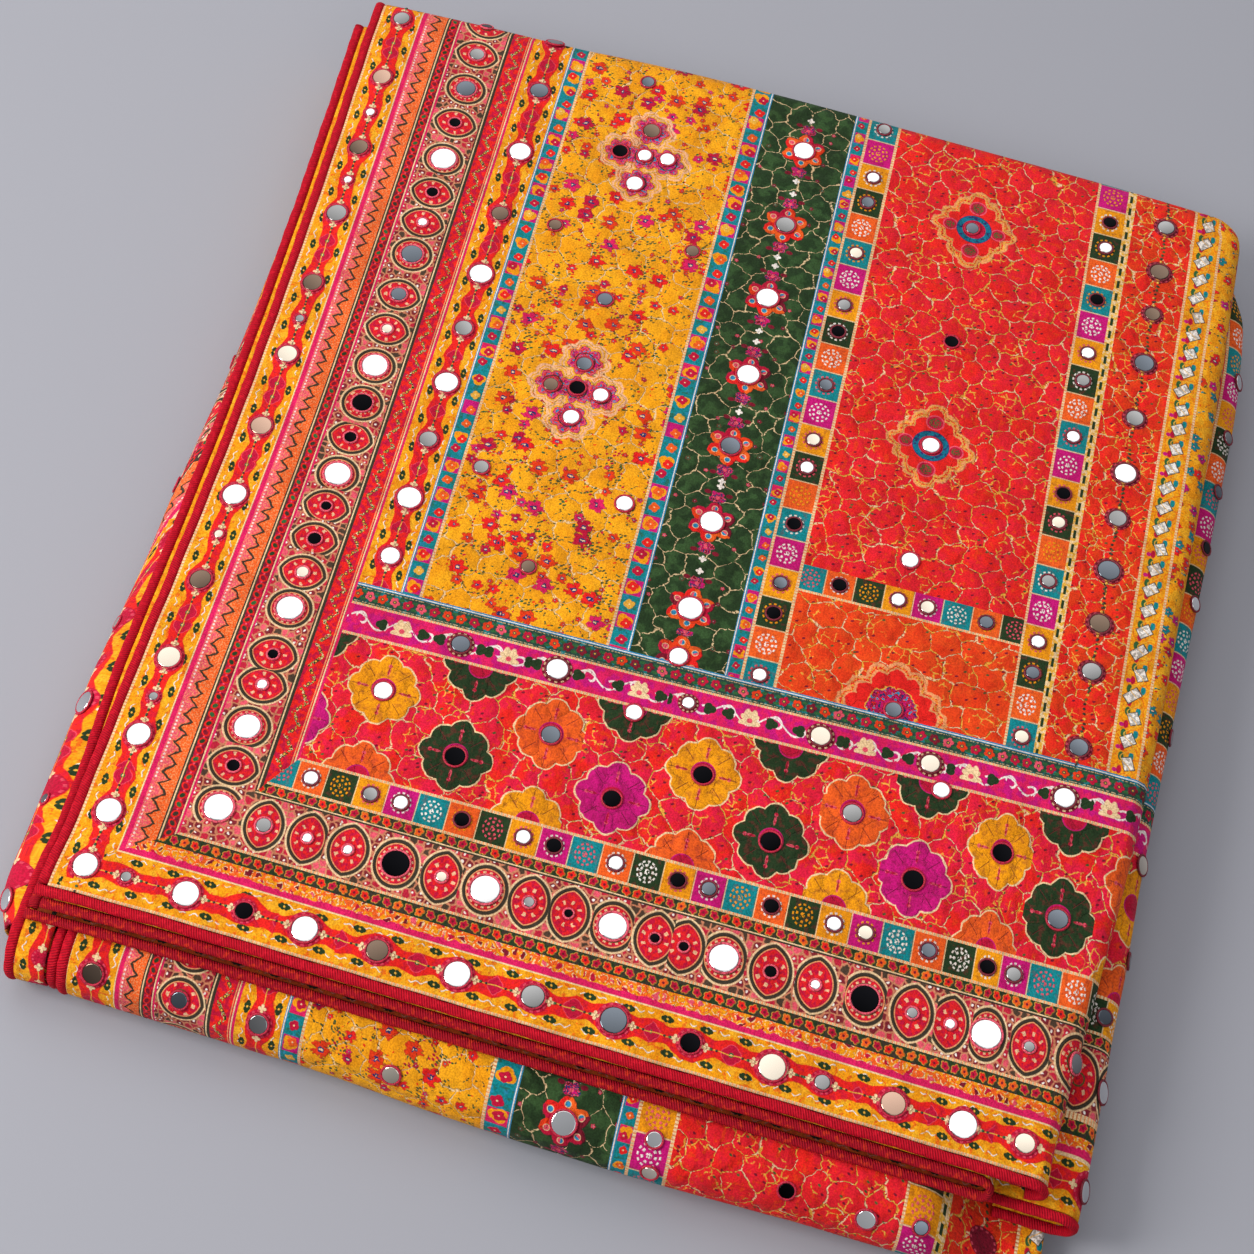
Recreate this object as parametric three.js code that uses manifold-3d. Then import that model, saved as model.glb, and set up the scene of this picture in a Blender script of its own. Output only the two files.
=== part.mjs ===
// A mirror work dupatta, folded and lying on a surface. Millimetres, +Z up.
// X runs along the front edge to the right fold, Y runs to the far fold.
// Every stretch is laid out square first, and the whole stack is then slumped and sheared
// a little by settle(), so layers that nest before it still nest after it.
import * as THREE from 'three';
import Module from 'manifold-3d';
import { mergeVertices } from 'three/addons/utils/BufferGeometryUtils.js';

const wasm = await Module();
wasm.setup();

// driving sizes
const stackHeight = 50;
const clothWall = 2.0;
const seamGap = 0.4;
const bindingWidth = 5.0;
const topRoll = 8.0;
const topCorner = 9.0;
const innerRoll = 4.4;
const outerRoll = 9.6;
const frontRoll = 17.8;
const farRoll = 16.6;
const levels = { top: stackHeight, inner: 46.2, outer: 32.8, front: 35.6, left: 46.2 };
const edges = { left: -1, front: -1, turnEnd: 520, innerBack: 44.6, base: 505 };
const origin = { x: 229.27, y: 235.71 };
const mirrorRise = 1.0;
// the layers share these sections, so that their faces run side by side
const sections = [62, 78, 94, 110, 126, 160, 215, 275, 340, 400, 450, 485];
const sectionStart = 45.4;
const sectionEnd = 502;
const spread = [45, 90, 160, 240, 320, 390];

// outermost x of each right-hand fold, from front to back
const topSide = [
  { y: -4, x: 446 }, { y: 20, x: 447.5 }, { y: 158, x: 463 }, { y: 300, x: 469.5 },
  { y: 416, x: 473 }, { y: 540, x: 474 },
];
const outerSide = [
  { y: -11, x: 463 }, { y: 2, x: 464 }, { y: 65, x: 467 }, { y: 128, x: 470 },
  { y: 195, x: 474 }, { y: 278, x: 478 }, { y: 364, x: 482 }, { y: 440, x: 486 },
  { y: 485, x: 484 }, { y: 503, x: 478 },
];
// outermost x of the left drape
const drapeSide = [
  { y: -15, x: -21 }, { y: 0, x: -27.5 }, { y: 30, x: -30 }, { y: 80, x: -29.5 },
  { y: 150, x: -28 }, { y: 215, x: -26.5 }, { y: 253, x: -24 }, { y: 292, x: -21.5 },
  { y: 370, x: -20.5 }, { y: 450, x: -18.5 }, { y: 515, x: -17 },
];
// where the front fold starts to turn down, and its roll
const frontTurn = [
  { x: 6, y: -17, r: 17.8 }, { x: 120, y: -18, r: 17.8 }, { x: 180, y: -21, r: 17.8 },
  { x: 260, y: -22.5, r: 17.8 }, { x: 330, y: -21, r: 17.8 }, { x: 394, y: -21, r: 17.8 },
  { x: 404, y: -21.5, r: 16.2 }, { x: 418, y: -25, r: 9.6 }, { x: 428, y: -27, r: 6.1 },
  { x: 452, y: -28, r: 6.0 },
];
// the whole stack's lean: y gains shear times x, and the left margin bulges to +X
const leanRows = [
  { y: -60, shear: -0.065, bulge: 0 }, { y: 0, shear: -0.0645, bulge: 0.5 },
  { y: 30, shear: -0.063, bulge: 3 }, { y: 60, shear: -0.057, bulge: 4 },
  { y: 115, shear: -0.042, bulge: 5.5 }, { y: 160, shear: -0.033, bulge: 7.2 },
  { y: 240, shear: -0.039, bulge: 9.6 }, { y: 320, shear: -0.049, bulge: 9.8 },
  { y: 420, shear: -0.060, bulge: 8.8 }, { y: 520, shear: -0.069, bulge: 6.2 },
  { y: 600, shear: -0.072, bulge: 5 },
];
// furthest y of the far fold, from left to right
const farSide = [
  { x: -6, y: 526.5 }, { x: 40, y: 527 }, { x: 75, y: 528 }, { x: 110, y: 529.5 },
  { x: 160, y: 532 }, { x: 220, y: 533 }, { x: 290, y: 533 }, { x: 370, y: 532 },
  { x: 446, y: 530 }, { x: 480, y: 529.5 },
];
// larger mirrors on the top stretch: rows run along u or v, through these places
const topMirrors = [
  { along: 'v', at: 11.7, size: 11, places: [39, 78, 119, 162, 211, 252, 296, 341, 386, 430, 479, 520] },
  { along: 'v', at: 59.5, size: 12, places: [54, 95, 158, 235, 278, 301, 372, 436, 485] },
  { along: 'v', at: 99.5, size: 11, places: [198, 232, 302, 371, 411, 454, 497] },
  { along: 'v', at: 242.5, size: 11, places: [211, 261, 307, 352, 402, 451, 503] },
  { along: 'v', at: 433, size: 9.5, places: [189, 232, 260, 292, 324, 352, 387, 423, 456, 485] },
  { along: 'u', at: 11.7, size: 12, places: [12, 59, 86, 114, 147, 183, 217, 253, 287, 323, 376, 409] },
  { along: 'u', at: 51.7, size: 12.5, places: [144, 185, 243, 293, 356, 413] },
  { along: 'u', at: 161.5, size: 9.5, places: [144, 190, 252, 314, 365, 431] },
  { along: 'u', at: 107, size: 9, places: [156, 228, 302, 366, 437] },
  { along: 'u', at: 129, size: 9, places: [116, 195, 266, 335, 405] },
  { along: 'v', at: 337, size: 9, places: [268, 338, 481] },
];
const foldMirrors = [
  { on: 'front', u: 27, turn: 0.67, size: 10 }, { on: 'front', u: 68, turn: 0.67, size: 8 },
  { on: 'front', u: 105, turn: 0.67, size: 9 }, { on: 'front', u: 165, turn: 0.79, size: 8 },
  { on: 'front', u: 242, turn: 0.56, size: 11 }, { on: 'front', u: 282, turn: 0.34, size: 7 },
  { on: 'front', u: 340, turn: 0.67, size: 7 }, { on: 'front', u: 375, turn: 0.79, size: 8.5 },
  { on: 'outer', v: 8, turn: 1.15, size: 9.5 }, { on: 'outer', v: 50, turn: 1.05, size: 10 },
  { on: 'outer', v: 150, turn: 0.95, size: 9 },
  { on: 'drape', v: -4, turn: 0.72, size: 10 }, { on: 'drape', v: 95, turn: 0.62, size: 10 },
];

// ---- small helpers

const clamp = (x, low, high) => Math.min(high, Math.max(low, x));
const smooth = (x) => x * x * (3 - 2 * x);

// smooth value of one column of a table, between its rows
function along(rows, key, value, at) {
  const n = rows.length;
  let i = 0;
  while (i < n - 2 && at > rows[i + 1][key]) i += 1;
  const slope = (k) => {
    const a = rows[Math.max(0, k - 1)];
    const b = rows[Math.min(n - 1, k + 1)];
    return (b[value] - a[value]) / (b[key] - a[key]);
  };
  const low = rows[i];
  const high = rows[i + 1];
  const span = high[key] - low[key];
  const t = clamp((at - low[key]) / span, 0, 1);
  const rise = t * t * (3 - 2 * t);
  const out = (t * t * t - 2 * t * t + t) * span * slope(i);
  const back = (t * t * t - t * t) * span * slope(i + 1);
  return low[value] + (high[value] - low[value]) * rise + out + back;
}

const steps = (from, to, count) =>
  Array.from({ length: count + 1 }, (_, i) => from + ((to - from) * i) / count);

// a ply that runs level, turns under round a roll and comes back: s is 0 where it turns
function turned(s, level, roll, off) {
  const half = Math.PI * roll;
  if (s <= 0) return [s, level + off];
  if (s < half) {
    const a = s / roll;
    return [(roll + off) * Math.sin(a), level - roll + (roll + off) * Math.cos(a)];
  }
  return [half - s, level - 2 * roll - off];
}

// height lost by droop at the margins and by soft waves, as a share of the height
function slump(x, y) {
  const left = 1 - clamp((x + 8) / 75, 0, 1);
  const front = 1 - clamp((y + 8) / 90, 0, 1);
  const right = clamp((x - 400) / 80, 0, 1);
  const far = clamp((y - 460) / 80, 0, 1);
  const waves = 0.5 * Math.sin(x / 41 + y / 97) * Math.sin(y / 58 - x / 160);
  return 4 * left * left + 2.4 * front * front + 1.6 * right * right + 1.2 * far * far + waves;
}

function settle([x, y, z]) {
  const bulge = along(leanRows, 'y', 'bulge', y) * (1 - clamp(x / 110, 0, 1));
  const shear = along(leanRows, 'y', 'shear', y);
  const high = z * (1 - slump(x, y) / stackHeight);
  return [x + bulge - origin.x, y + shear * x - origin.y, high];
}

// ---- surfaces, all as (first, second, off) => [x, y, z], off being outwards

const turnX = (v) => along(topSide, 'y', 'x', Math.min(v, edges.turnEnd)) - topRoll;
const farY = (u) => along(farSide, 'x', 'y', clamp(u, -6, 480));

function topPly(u, v, off) {
  const x0 = turnX(v) - topCorner;
  const y0 = farY(u) - topCorner;
  const du = u - x0;
  const dv = v - y0;
  if (du <= 0 && dv <= 0) return [u, v, levels.top + off];
  if (dv <= 0) {
    const [a, z] = turned(du - topCorner, levels.top, topRoll, off);
    return [x0 + topCorner + a, v, z];
  }
  if (du <= 0) {
    const [a, z] = turned(dv - topCorner, levels.top, topRoll, off);
    return [u, y0 + topCorner + a, z];
  }
  const most = Math.max(du, dv);
  const least = Math.min(du, dv);
  const lean = (Math.PI / 4) * (least / most);
  const angle = du >= dv ? lean : Math.PI / 2 - lean;
  const [a, z] = turned(most - topCorner, levels.top, topRoll, off);
  const reach = topCorner + a;
  return [x0 + reach * Math.cos(angle), y0 + reach * Math.sin(angle), z];
}

const innerTurn = (v) => along(topSide, 'y', 'x', v) - 22 - innerRoll;

function innerFold(s, v, off) {
  const [a, z] = turned(s, levels.inner, innerRoll, off);
  return [innerTurn(v) + a, v, z];
}

// the lower edge of the inner fold lies further forward than its upper edge
const innerFront = (s) => -4 - 6 * smooth(clamp(s / (Math.PI * innerRoll), 0, 1));

function outerFold(s, v, off) {
  const [a, z] = turned(s, levels.outer, outerRoll, off);
  return [along(outerSide, 'y', 'x', v) - outerRoll + a, v, z];
}

// front fold: s runs forward over the front, under the stack and up at the far side
function frontFold(x, s, off) {
  const turn = along(frontTurn, 'x', 'y', x);
  const roll = along(frontTurn, 'x', 'r', x);
  const under = Math.PI * roll;
  if (s <= under) {
    const [a, z] = turned(s, 2 * roll, roll, off);
    return [x, turn - a, z];
  }
  const flat = edges.base - turn;
  if (s <= under + flat) return [x, turn + (s - under), -off];
  const up = (s - under - flat) / farRoll;
  const reach = farRoll + off;
  return [x, edges.base + reach * Math.sin(up), farRoll - reach * Math.cos(up)];
}

// left stretch: level along the left, rising behind the front, wrapped down at the front
const leftTurn = -17;
const leftRise = (y) => levels.front
  + (levels.left - levels.front) * smooth(clamp((y - 50) / 70, 0, 1));

function leftFold(x, s, off) {
  if (s <= 0) return [x, leftTurn - s, leftRise(leftTurn - s) + off];
  const [a, z] = turned(s, levels.front, frontRoll, off);
  return [x, leftTurn - a, z];
}

// left drape: turn runs 0 at the top, 1 at the outermost point, 2 at the table, then on under
const drapeIn = -6;
const drapeMid = 12;

function drape(turn, v, off) {
  const side = along(drapeSide, 'y', 'x', v);
  const top = leftRise(v) - 3.1;
  const wide = drapeIn - side;
  if (turn <= 1) {
    const a = turn * Math.PI / 2;
    return [drapeIn - (wide + off) * Math.sin(a), v,
      drapeMid + (top - drapeMid + off) * Math.cos(a)];
  }
  const foot = 9;
  if (turn <= 2) {
    const a = (turn - 1) * Math.PI / 2;
    return [side + foot - (foot + off) * Math.cos(a), v,
      drapeMid - (drapeMid + off) * Math.sin(a)];
  }
  return [side + foot + (turn - 2) * 5, v, -off];
}

// ---- solids

// a closed wall between the surface at off 0 and at minus its thickness
function wall(place, firsts, seconds, thick = clothWall) {
  const points = [];
  const faces = [];
  const wide = seconds.length;
  for (const off of [0, -thick]) {
    for (const a of firsts) {
      for (const b of seconds) points.push(place(a, b, off));
    }
  }
  const layer = firsts.length * wide;
  const at = (k, i, j) => k * layer + i * wide + j;
  const quad = (a, b, c, d) => faces.push(a, b, c, a, c, d);
  for (let i = 0; i < firsts.length - 1; i += 1) {
    for (let j = 0; j < wide - 1; j += 1) {
      quad(at(0, i, j), at(0, i + 1, j), at(0, i + 1, j + 1), at(0, i, j + 1));
      quad(at(1, i, j), at(1, i, j + 1), at(1, i + 1, j + 1), at(1, i + 1, j));
    }
    quad(at(0, i + 1, 0), at(0, i, 0), at(1, i, 0), at(1, i + 1, 0));
    const e = wide - 1;
    quad(at(0, i, e), at(0, i + 1, e), at(1, i + 1, e), at(1, i, e));
  }
  for (let j = 0; j < wide - 1; j += 1) {
    quad(at(0, 0, j), at(0, 0, j + 1), at(1, 0, j + 1), at(1, 0, j));
    const e = firsts.length - 1;
    quad(at(0, e, j + 1), at(0, e, j), at(1, e, j), at(1, e, j + 1));
  }
  return { points, faces };
}

// a rolled binding: out is how far past the cloth's edge, off how far above its outer face
const bindingRing = [
  { out: 0.4, off: -2.5 }, { out: 0.4, off: 0.45 }, { out: 1.6, off: 0.7 },
  { out: 3.6, off: 0.6 }, { out: 4.8, off: -0.3 }, { out: 5.0, off: -1.4 },
  { out: 4.3, off: -2.3 }, { out: 2.4, off: -2.6 },
];

function rolled(place, stations) {
  const points = [];
  const faces = [];
  const n = bindingRing.length;
  for (const s of stations) {
    for (const p of bindingRing) points.push(place(s, p.out * bindingWidth / 5, p.off));
  }
  for (let i = 0; i < stations.length - 1; i += 1) {
    for (let j = 0; j < n; j += 1) {
      const k = (j + 1) % n;
      faces.push(i * n + j, i * n + k, (i + 1) * n + k);
      faces.push(i * n + j, (i + 1) * n + k, (i + 1) * n + j);
    }
  }
  const last = (stations.length - 1) * n;
  for (let j = 1; j < n - 1; j += 1) {
    faces.push(0, j + 1, j);
    faces.push(last, last + j, last + j + 1);
  }
  return { points, faces };
}

// a solid through like outlines
function lofted(outlines) {
  const n = outlines[0].length;
  const points = outlines.flat();
  const faces = [];
  for (let i = 0; i < outlines.length - 1; i += 1) {
    for (let j = 0; j < n; j += 1) {
      const k = (j + 1) % n;
      faces.push(i * n + j, i * n + k, (i + 1) * n + k);
      faces.push(i * n + j, (i + 1) * n + k, (i + 1) * n + j);
    }
  }
  const cap = (outline, start, flip, flat) => {
    const shape = outline.map((p) => new THREE.Vector2(...flat(p)));
    const turnedOver = THREE.ShapeUtils.isClockWise(shape);
    const ring = turnedOver ? [...shape].reverse() : shape;
    for (const [a, b, c] of THREE.ShapeUtils.triangulateShape(ring, [])) {
      const real = [a, b, c].map((i) => start + (turnedOver ? n - 1 - i : i));
      if (flip !== turnedOver) real.reverse();
      faces.push(...real);
    }
  };
  return { points, faces, cap, n };
}

// volume sign decides which way the faces turn
function signedVolume({ points, faces }) {
  let total = 0;
  for (let i = 0; i < faces.length; i += 3) {
    const [a, b, c] = [points[faces[i]], points[faces[i + 1]], points[faces[i + 2]]];
    total += a[0] * (b[1] * c[2] - b[2] * c[1]) + a[1] * (b[2] * c[0] - b[0] * c[2])
      + a[2] * (b[0] * c[1] - b[1] * c[0]);
  }
  return total / 6;
}

function outward(solid) {
  if (signedVolume(solid) >= 0) return solid;
  const faces = [];
  for (let i = 0; i < solid.faces.length; i += 3) {
    faces.push(solid.faces[i], solid.faces[i + 2], solid.faces[i + 1]);
  }
  return { points: solid.points, faces };
}

function toManifold(solid) {
  const { points, faces } = outward(solid);
  const geometry = new THREE.BufferGeometry();
  geometry.setAttribute('position', new THREE.Float32BufferAttribute(points.flat(), 3));
  geometry.setIndex(faces);
  const merged = mergeVertices(geometry, 1e-4);
  return new wasm.Manifold(new wasm.Mesh({
    numProp: 3,
    vertProperties: new Float32Array(merged.attributes.position.array),
    triVerts: new Uint32Array(merged.index.array),
  }));
}

function fromManifold(body) {
  const mesh = body.getMesh();
  const points = [];
  for (let i = 0; i < mesh.numVert; i += 1) {
    points.push([0, 1, 2].map((k) => mesh.vertProperties[i * mesh.numProp + k]));
  }
  return { points, faces: [...mesh.triVerts] };
}

// a mirror: a low disc set into the cloth, standing proud of it
function disc(place, a, b, radius) {
  const step = 0.5;
  const at = (i, j, off) => new THREE.Vector3(...place(a + i, b + j, off));
  const centre = at(0, 0, 0);
  const along1 = at(step, 0, 0).sub(at(-step, 0, 0)).normalize();
  const normal = at(0, 0, 1).sub(centre).normalize();
  const along2 = new THREE.Vector3().crossVectors(normal, along1).normalize();
  const sides = 8;
  const ring = (r, lift) => steps(0, 2 * Math.PI, sides).slice(0, sides).map((t) => centre
    .clone()
    .addScaledVector(along1, r * Math.cos(t))
    .addScaledVector(along2, r * Math.sin(t))
    .addScaledVector(normal, lift)
    .toArray());
  const points = [...ring(radius, -0.9), ...ring(radius, 0.4), ...ring(radius * 0.86, mirrorRise)];
  const faces = [];
  for (let k = 0; k < 2; k += 1) {
    for (let j = 0; j < sides; j += 1) {
      const e = (j + 1) % sides;
      const s = k * sides;
      faces.push(s + j, s + e, s + sides + e, s + j, s + sides + e, s + sides + j);
    }
  }
  for (let j = 1; j < sides - 1; j += 1) {
    faces.push(0, j + 1, j);
    faces.push(2 * sides, 2 * sides + j, 2 * sides + j + 1);
  }
  return toManifold({ points, faces });
}

const group = new THREE.Group();

function add(name, solid, colour, roughness = 0.85, metalness = 0) {
  const { points, faces } = outward({
    points: solid.points.map(settle), faces: solid.faces,
  });
  const geometry = new THREE.BufferGeometry();
  geometry.setAttribute('position', new THREE.Float32BufferAttribute(points.flat(), 3));
  geometry.setIndex(faces);
  geometry.computeVertexNormals();
  const material = new THREE.MeshStandardMaterial({ color: colour, roughness, metalness });
  const mesh = new THREE.Mesh(geometry, material);
  mesh.name = name;
  group.add(mesh);
}

function withMirrors(solid, discs) {
  let body = toManifold(solid);
  for (const one of discs) body = body.add(one);
  return fromManifold(body);
}

const crimson = '#a5122b';
const cloths = { red: '#c8301f', yellow: '#d98f1d', magenta: '#b3214d', inside: '#8c3a22' };

// ---- top stretch, with its bindings

// the grid follows the turning line, which isn't straight, so u is set from it
const topCols = [
  ...[-1, 15, ...spread].map((u) => ({ u })),
  ...steps(-topCorner, 0, 2).map((s) => ({ s })),
  ...steps(0, Math.PI * topRoll, 6).slice(1).map((s) => ({ s })),
  { s: Math.PI * topRoll + 7 },
];
const topRows = [
  ...[-1, 20, sectionStart, ...sections, sectionEnd].map((v) => ({ v })),
  ...steps(-topCorner, 0, 2).map((s) => ({ s })),
  ...steps(0, Math.PI * topRoll, 6).slice(1).map((s) => ({ s })),
  { s: Math.PI * topRoll + 7 },
];
const topU = (col, v) => (col.u === undefined ? turnX(v) + col.s : col.u);
const topV = (row, u) => (row.v === undefined ? farY(u) + row.s : row.v);
const topWall = wall((col, row, off) => {
  const u = topU(col, row.v === undefined ? edges.turnEnd : row.v);
  return topPly(u, topV(row, u), off);
}, topCols, topRows);
const topDiscs = topMirrors.flatMap((row) => row.places.map((reach) => {
  const [u, v] = row.along === 'u' ? [reach, row.at] : [row.at, reach];
  return disc(topPly, u, v, row.size / 2);
}));
add('top-ply', withMirrors(topWall, topDiscs), cloths.red);

add('top-end-binding', rolled(
  (col, out, off) => {
    const [x, , z] = topPly(topU(col, -1), -1, off);
    return [x, -1 - out, z];
  },
  [{ u: -6 }, ...topCols.slice(1)],
), crimson);

add('top-side-binding', rolled(
  (v, out, off) => {
    const [, y, z] = topPly(-1, v, off);
    return [-1 - out, y, z];
  },
  [-0.6, ...topRows.slice(1).map((row) => topV(row, -1))],
), crimson);

// ---- inner fold

const innerTurnS = Math.PI * innerRoll;
const innerCols = [
  { x: 3 }, { x: 16 }, { x: 34 }, { x: 62 }, { x: 130 }, { x: 210 }, { x: 290 }, { x: 360 },
  ...steps(0, innerTurnS, 6).map((s) => ({ s })),
  { back: 360 }, { back: 290 }, { back: 210 }, { back: 130 }, { back: 62 }, { back: 34 },
  { back: 16 }, { back: -4 },
];
const innerS = (col, v) => {
  if (col.s !== undefined) return col.s;
  if (col.x !== undefined) return col.x - innerTurn(v);
  return innerTurnS + innerTurn(v) - col.back;
};
const innerDepth = [0, 0.3, 0.65, 1];
add('inner-fold', wall(
  (col, t, off) => {
    const front = innerFront(innerS(col, 0));
    const v = front + 0.3 + (edges.innerBack - front) * t;
    return innerFold(innerS(col, v), v, off);
  },
  innerCols,
  innerDepth,
), cloths.yellow);
add('inner-fold-end-binding', rolled(
  (col, out, off) => {
    const s = innerS(col, 0);
    const v = innerFront(s) - out;
    const [x, , z] = innerFold(innerS(col, v), v, off);
    return [x, v, z];
  },
  [{ x: -2 }, ...innerCols.slice(1, -1), { back: -9 }],
), crimson);
add('inner-upper-binding', rolled(
  (v, out, off) => [3 - out, v, levels.inner + off],
  steps(-3.6, edges.innerBack, 3),
), crimson);
add('inner-lower-binding', rolled(
  (v, out, off) => [-4 - out, v, levels.inner - 2 * innerRoll - off],
  steps(-9.6, edges.innerBack, 3),
), crimson);

// ---- outer fold

const outerTurnS = Math.PI * outerRoll;
const outerCols = [
  { x: 412 }, { x: 435 }, ...steps(0, outerTurnS, 6).map((s) => ({ s })), { back: 428.5 },
];
const outerS = (col, v) => {
  const turn = along(outerSide, 'y', 'x', v) - outerRoll;
  if (col.s !== undefined) return col.s;
  if (col.x !== undefined) return col.x - turn;
  return outerTurnS + turn - col.back;
};
const outerRows = [-6, 20, sectionStart, ...sections, sectionEnd + 1];
const outerPlace = (col, v, off) => outerFold(outerS(col, v), v, off);
const outerDiscs = foldMirrors.filter((m) => m.on === 'outer').map((m) => disc(
  (s, v, off) => outerFold(s, v, off), m.turn * outerRoll, m.v, m.size / 2,
));
add('outer-fold', withMirrors(wall(outerPlace, outerCols, outerRows), outerDiscs), cloths.red);
add('outer-fold-binding', rolled(
  (col, out, off) => outerPlace(col, -6 - out, off),
  outerCols,
), crimson);

// ---- front fold, with the flat stretch that everything rests on

const frontCols = [
  16, 50, 90, 130, 180, 230, 280, 330, 375, 394, 402, 410, 418, 428, 440, 452,
];
const frontArc = 9;
const frontRows = [
  ...[-60, -30].map((s) => ({ s })),
  ...steps(0, 1, frontArc).map((turn) => ({ turn })),
  ...[0.12, 0.35, 0.65, 0.88, 1].map((flat) => ({ flat })),
  ...steps(0, 1, 7).slice(1).map((far) => ({ far })),
];
function frontS(row, x) {
  const under = Math.PI * along(frontTurn, 'x', 'r', x);
  const flat = edges.base - along(frontTurn, 'x', 'y', x);
  if (row.s !== undefined) return row.s;
  if (row.turn !== undefined) return row.turn * under;
  if (row.flat !== undefined) return under + row.flat * flat;
  return under + flat + row.far * Math.PI * farRoll;
}
const frontPlace = (x, row, off) => frontFold(x, frontS(row, x), off);
const frontDiscs = foldMirrors.filter((m) => m.on === 'front').map((m) => disc(
  (x, s, off) => frontFold(x, s, off), m.u, m.turn * frontRoll, m.size / 2,
));
add('front-fold', withMirrors(wall(frontPlace, frontCols, frontRows), frontDiscs),
  cloths.yellow);
const besideFront = (edge, sink) => (s, out, off) => {
  const [, y, z] = frontFold(16, s, off - sink);
  return [edge - out, y, z];
};
const downFront = [-60, -30, ...steps(0, Math.PI * frontRoll, frontArc).slice(0, frontArc)];
add('front-fold-binding', rolled(besideFront(16, 0), downFront), crimson);
add('front-inner-binding', rolled(besideFront(11, 1.2), downFront), crimson);

// ---- left fold

const leftLevel = [515, sectionEnd, ...[...sections].reverse(), sectionStart, 20];
const leftLine = [
  ...leftLevel.map((y) => leftTurn - y),
  ...steps(0, Math.PI * frontRoll, frontArc),
  Math.PI * frontRoll + 24,
];
add('left-fold', wall((x, s, off) => leftFold(x, s, off), [-8.5, -1, 5.4], leftLine),
  cloths.red);
add('left-fold-binding', rolled(
  (s, out, off) => {
    const [, y, z] = leftFold(-8.5, s, off);
    return [-8.5 - out, y, z];
  },
  leftLine.slice(0, -2),
), crimson);

// ---- left drape

const drapeTurns = [0, 0.2, 0.4, 0.6, 0.8, 1, 1.25, 1.5, 1.75, 2, 2.2];
const drapeRows = [-15, -8, 0, 20, sectionStart, ...sections, sectionEnd, 515];
const drapeDiscs = foldMirrors.filter((m) => m.on === 'drape').map((m) => disc(
  (t, v, off) => drape(m.turn + (t - m.turn) / 30, v, off), m.turn, m.v, m.size / 2,
));
add('left-drape', withMirrors(wall(drape, drapeTurns, drapeRows), drapeDiscs), cloths.magenta);

// ---- the hidden layers, one solid that fills the stack and steps at its edges

const inside = clothWall + seamGap;
const bed = inside + 0.15;

function hiddenOutline(y) {
  const ring = [];
  const put = (x, z) => ring.push([x, y, z]);
  const side = along(drapeSide, 'y', 'x', y);
  const top = leftRise(y) - 3.1;
  put(side + 9, bed);
  for (const t of [1.5, 1, 0.8, 0.6, 0.4, 0.2]) {
    const [x, , z] = drape(t, y, -inside - 0.3);
    put(x, Math.max(z, bed));
  }
  put(-5.6, top - inside - 0.2);
  put(-5.2, leftRise(y) - inside);
  put(6, leftRise(y) - inside);
  const cover = levels.top - inside - 0.15;
  put(6.4, cover);
  const reach = turnX(y);
  for (const x of spread) put(x, cover);
  for (const a of steps(0, Math.PI, 6)) {
    const r = topRoll - inside - 0.15;
    put(reach + r * Math.sin(a), levels.top - topRoll + r * Math.cos(a));
  }
  put(reach - 7.4, levels.top - 2 * topRoll + inside);
  put(411.6, levels.outer + seamGap);
  put(411.6, levels.outer - inside);
  const bend = along(outerSide, 'y', 'x', y) - outerRoll;
  for (const a of steps(0, Math.PI, 6)) {
    const r = outerRoll - inside - 0.1;
    put(bend + r * Math.sin(a), levels.outer - outerRoll + r * Math.cos(a));
  }
  put(428, levels.outer - 2 * outerRoll + inside);
  put(428, levels.outer - 2 * outerRoll - seamGap);
  put(446, levels.outer - 2 * outerRoll - seamGap);
  put(449.5, 10.8);
  put(446.5, 8.2);
  put(450, 5.6);
  put(447, bed);
  return ring;
}

function hiddenMain() {
  const stations = [sectionStart, ...sections, sectionEnd];
  const outlines = stations.map(hiddenOutline);
  const solid = lofted(outlines);
  const flat = (p) => [p[0], p[2]];
  solid.cap(outlines[0], 0, true, flat);
  solid.cap(outlines[outlines.length - 1], (outlines.length - 1) * solid.n, false, flat);
  return solid;
}

// the nose that fills the front fold
function hiddenNose() {
  const outlines = [-5, 16.4, 16.6, 50, 90, 130, 180, 230, 280, 330, 375].map((x) => {
    const turn = x < 6 ? leftTurn : along(frontTurn, 'x', 'y', x);
    // the rolled edges at the left end take more room
    const r = frontRoll - inside - (x < 16.5 ? 1.9 : 0.35);
    const ring = steps(0, Math.PI, frontArc).map((a) => [
      x, turn - r * Math.sin(a), frontRoll + r * Math.cos(a),
    ]);
    return [...ring, [x, 47, frontRoll - r], [x, 47, frontRoll + r]];
  });
  const solid = lofted(outlines);
  const flat = (p) => [p[1], p[2]];
  solid.cap(outlines[0], 0, true, flat);
  solid.cap(outlines[outlines.length - 1], (outlines.length - 1) * solid.n, false, flat);
  return solid;
}

// the part inside the front end of the left drape
function hiddenLeft() {
  const outlines = [-14.5, -8, 0, 20, 45.4, 48].map((y) => {
    const left = hiddenOutline(y).slice(0, 8);
    return [...left, [-4, y, left[7][2]], [-4, y, bed]];
  });
  const solid = lofted(outlines);
  const flat = (p) => [p[0], p[2]];
  solid.cap(outlines[0], 0, true, flat);
  solid.cap(outlines[outlines.length - 1], (outlines.length - 1) * solid.n, false, flat);
  return solid;
}

const hidden = [hiddenNose(), hiddenLeft()].reduce(
  (body, next) => body.add(toManifold(next)), toManifold(hiddenMain()),
);
add('hidden-layers', fromManifold(hidden), cloths.inside);

export default group;
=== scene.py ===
import math
import random
import bpy
import bmesh
from mathutils import Matrix, Vector, kdtree


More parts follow.
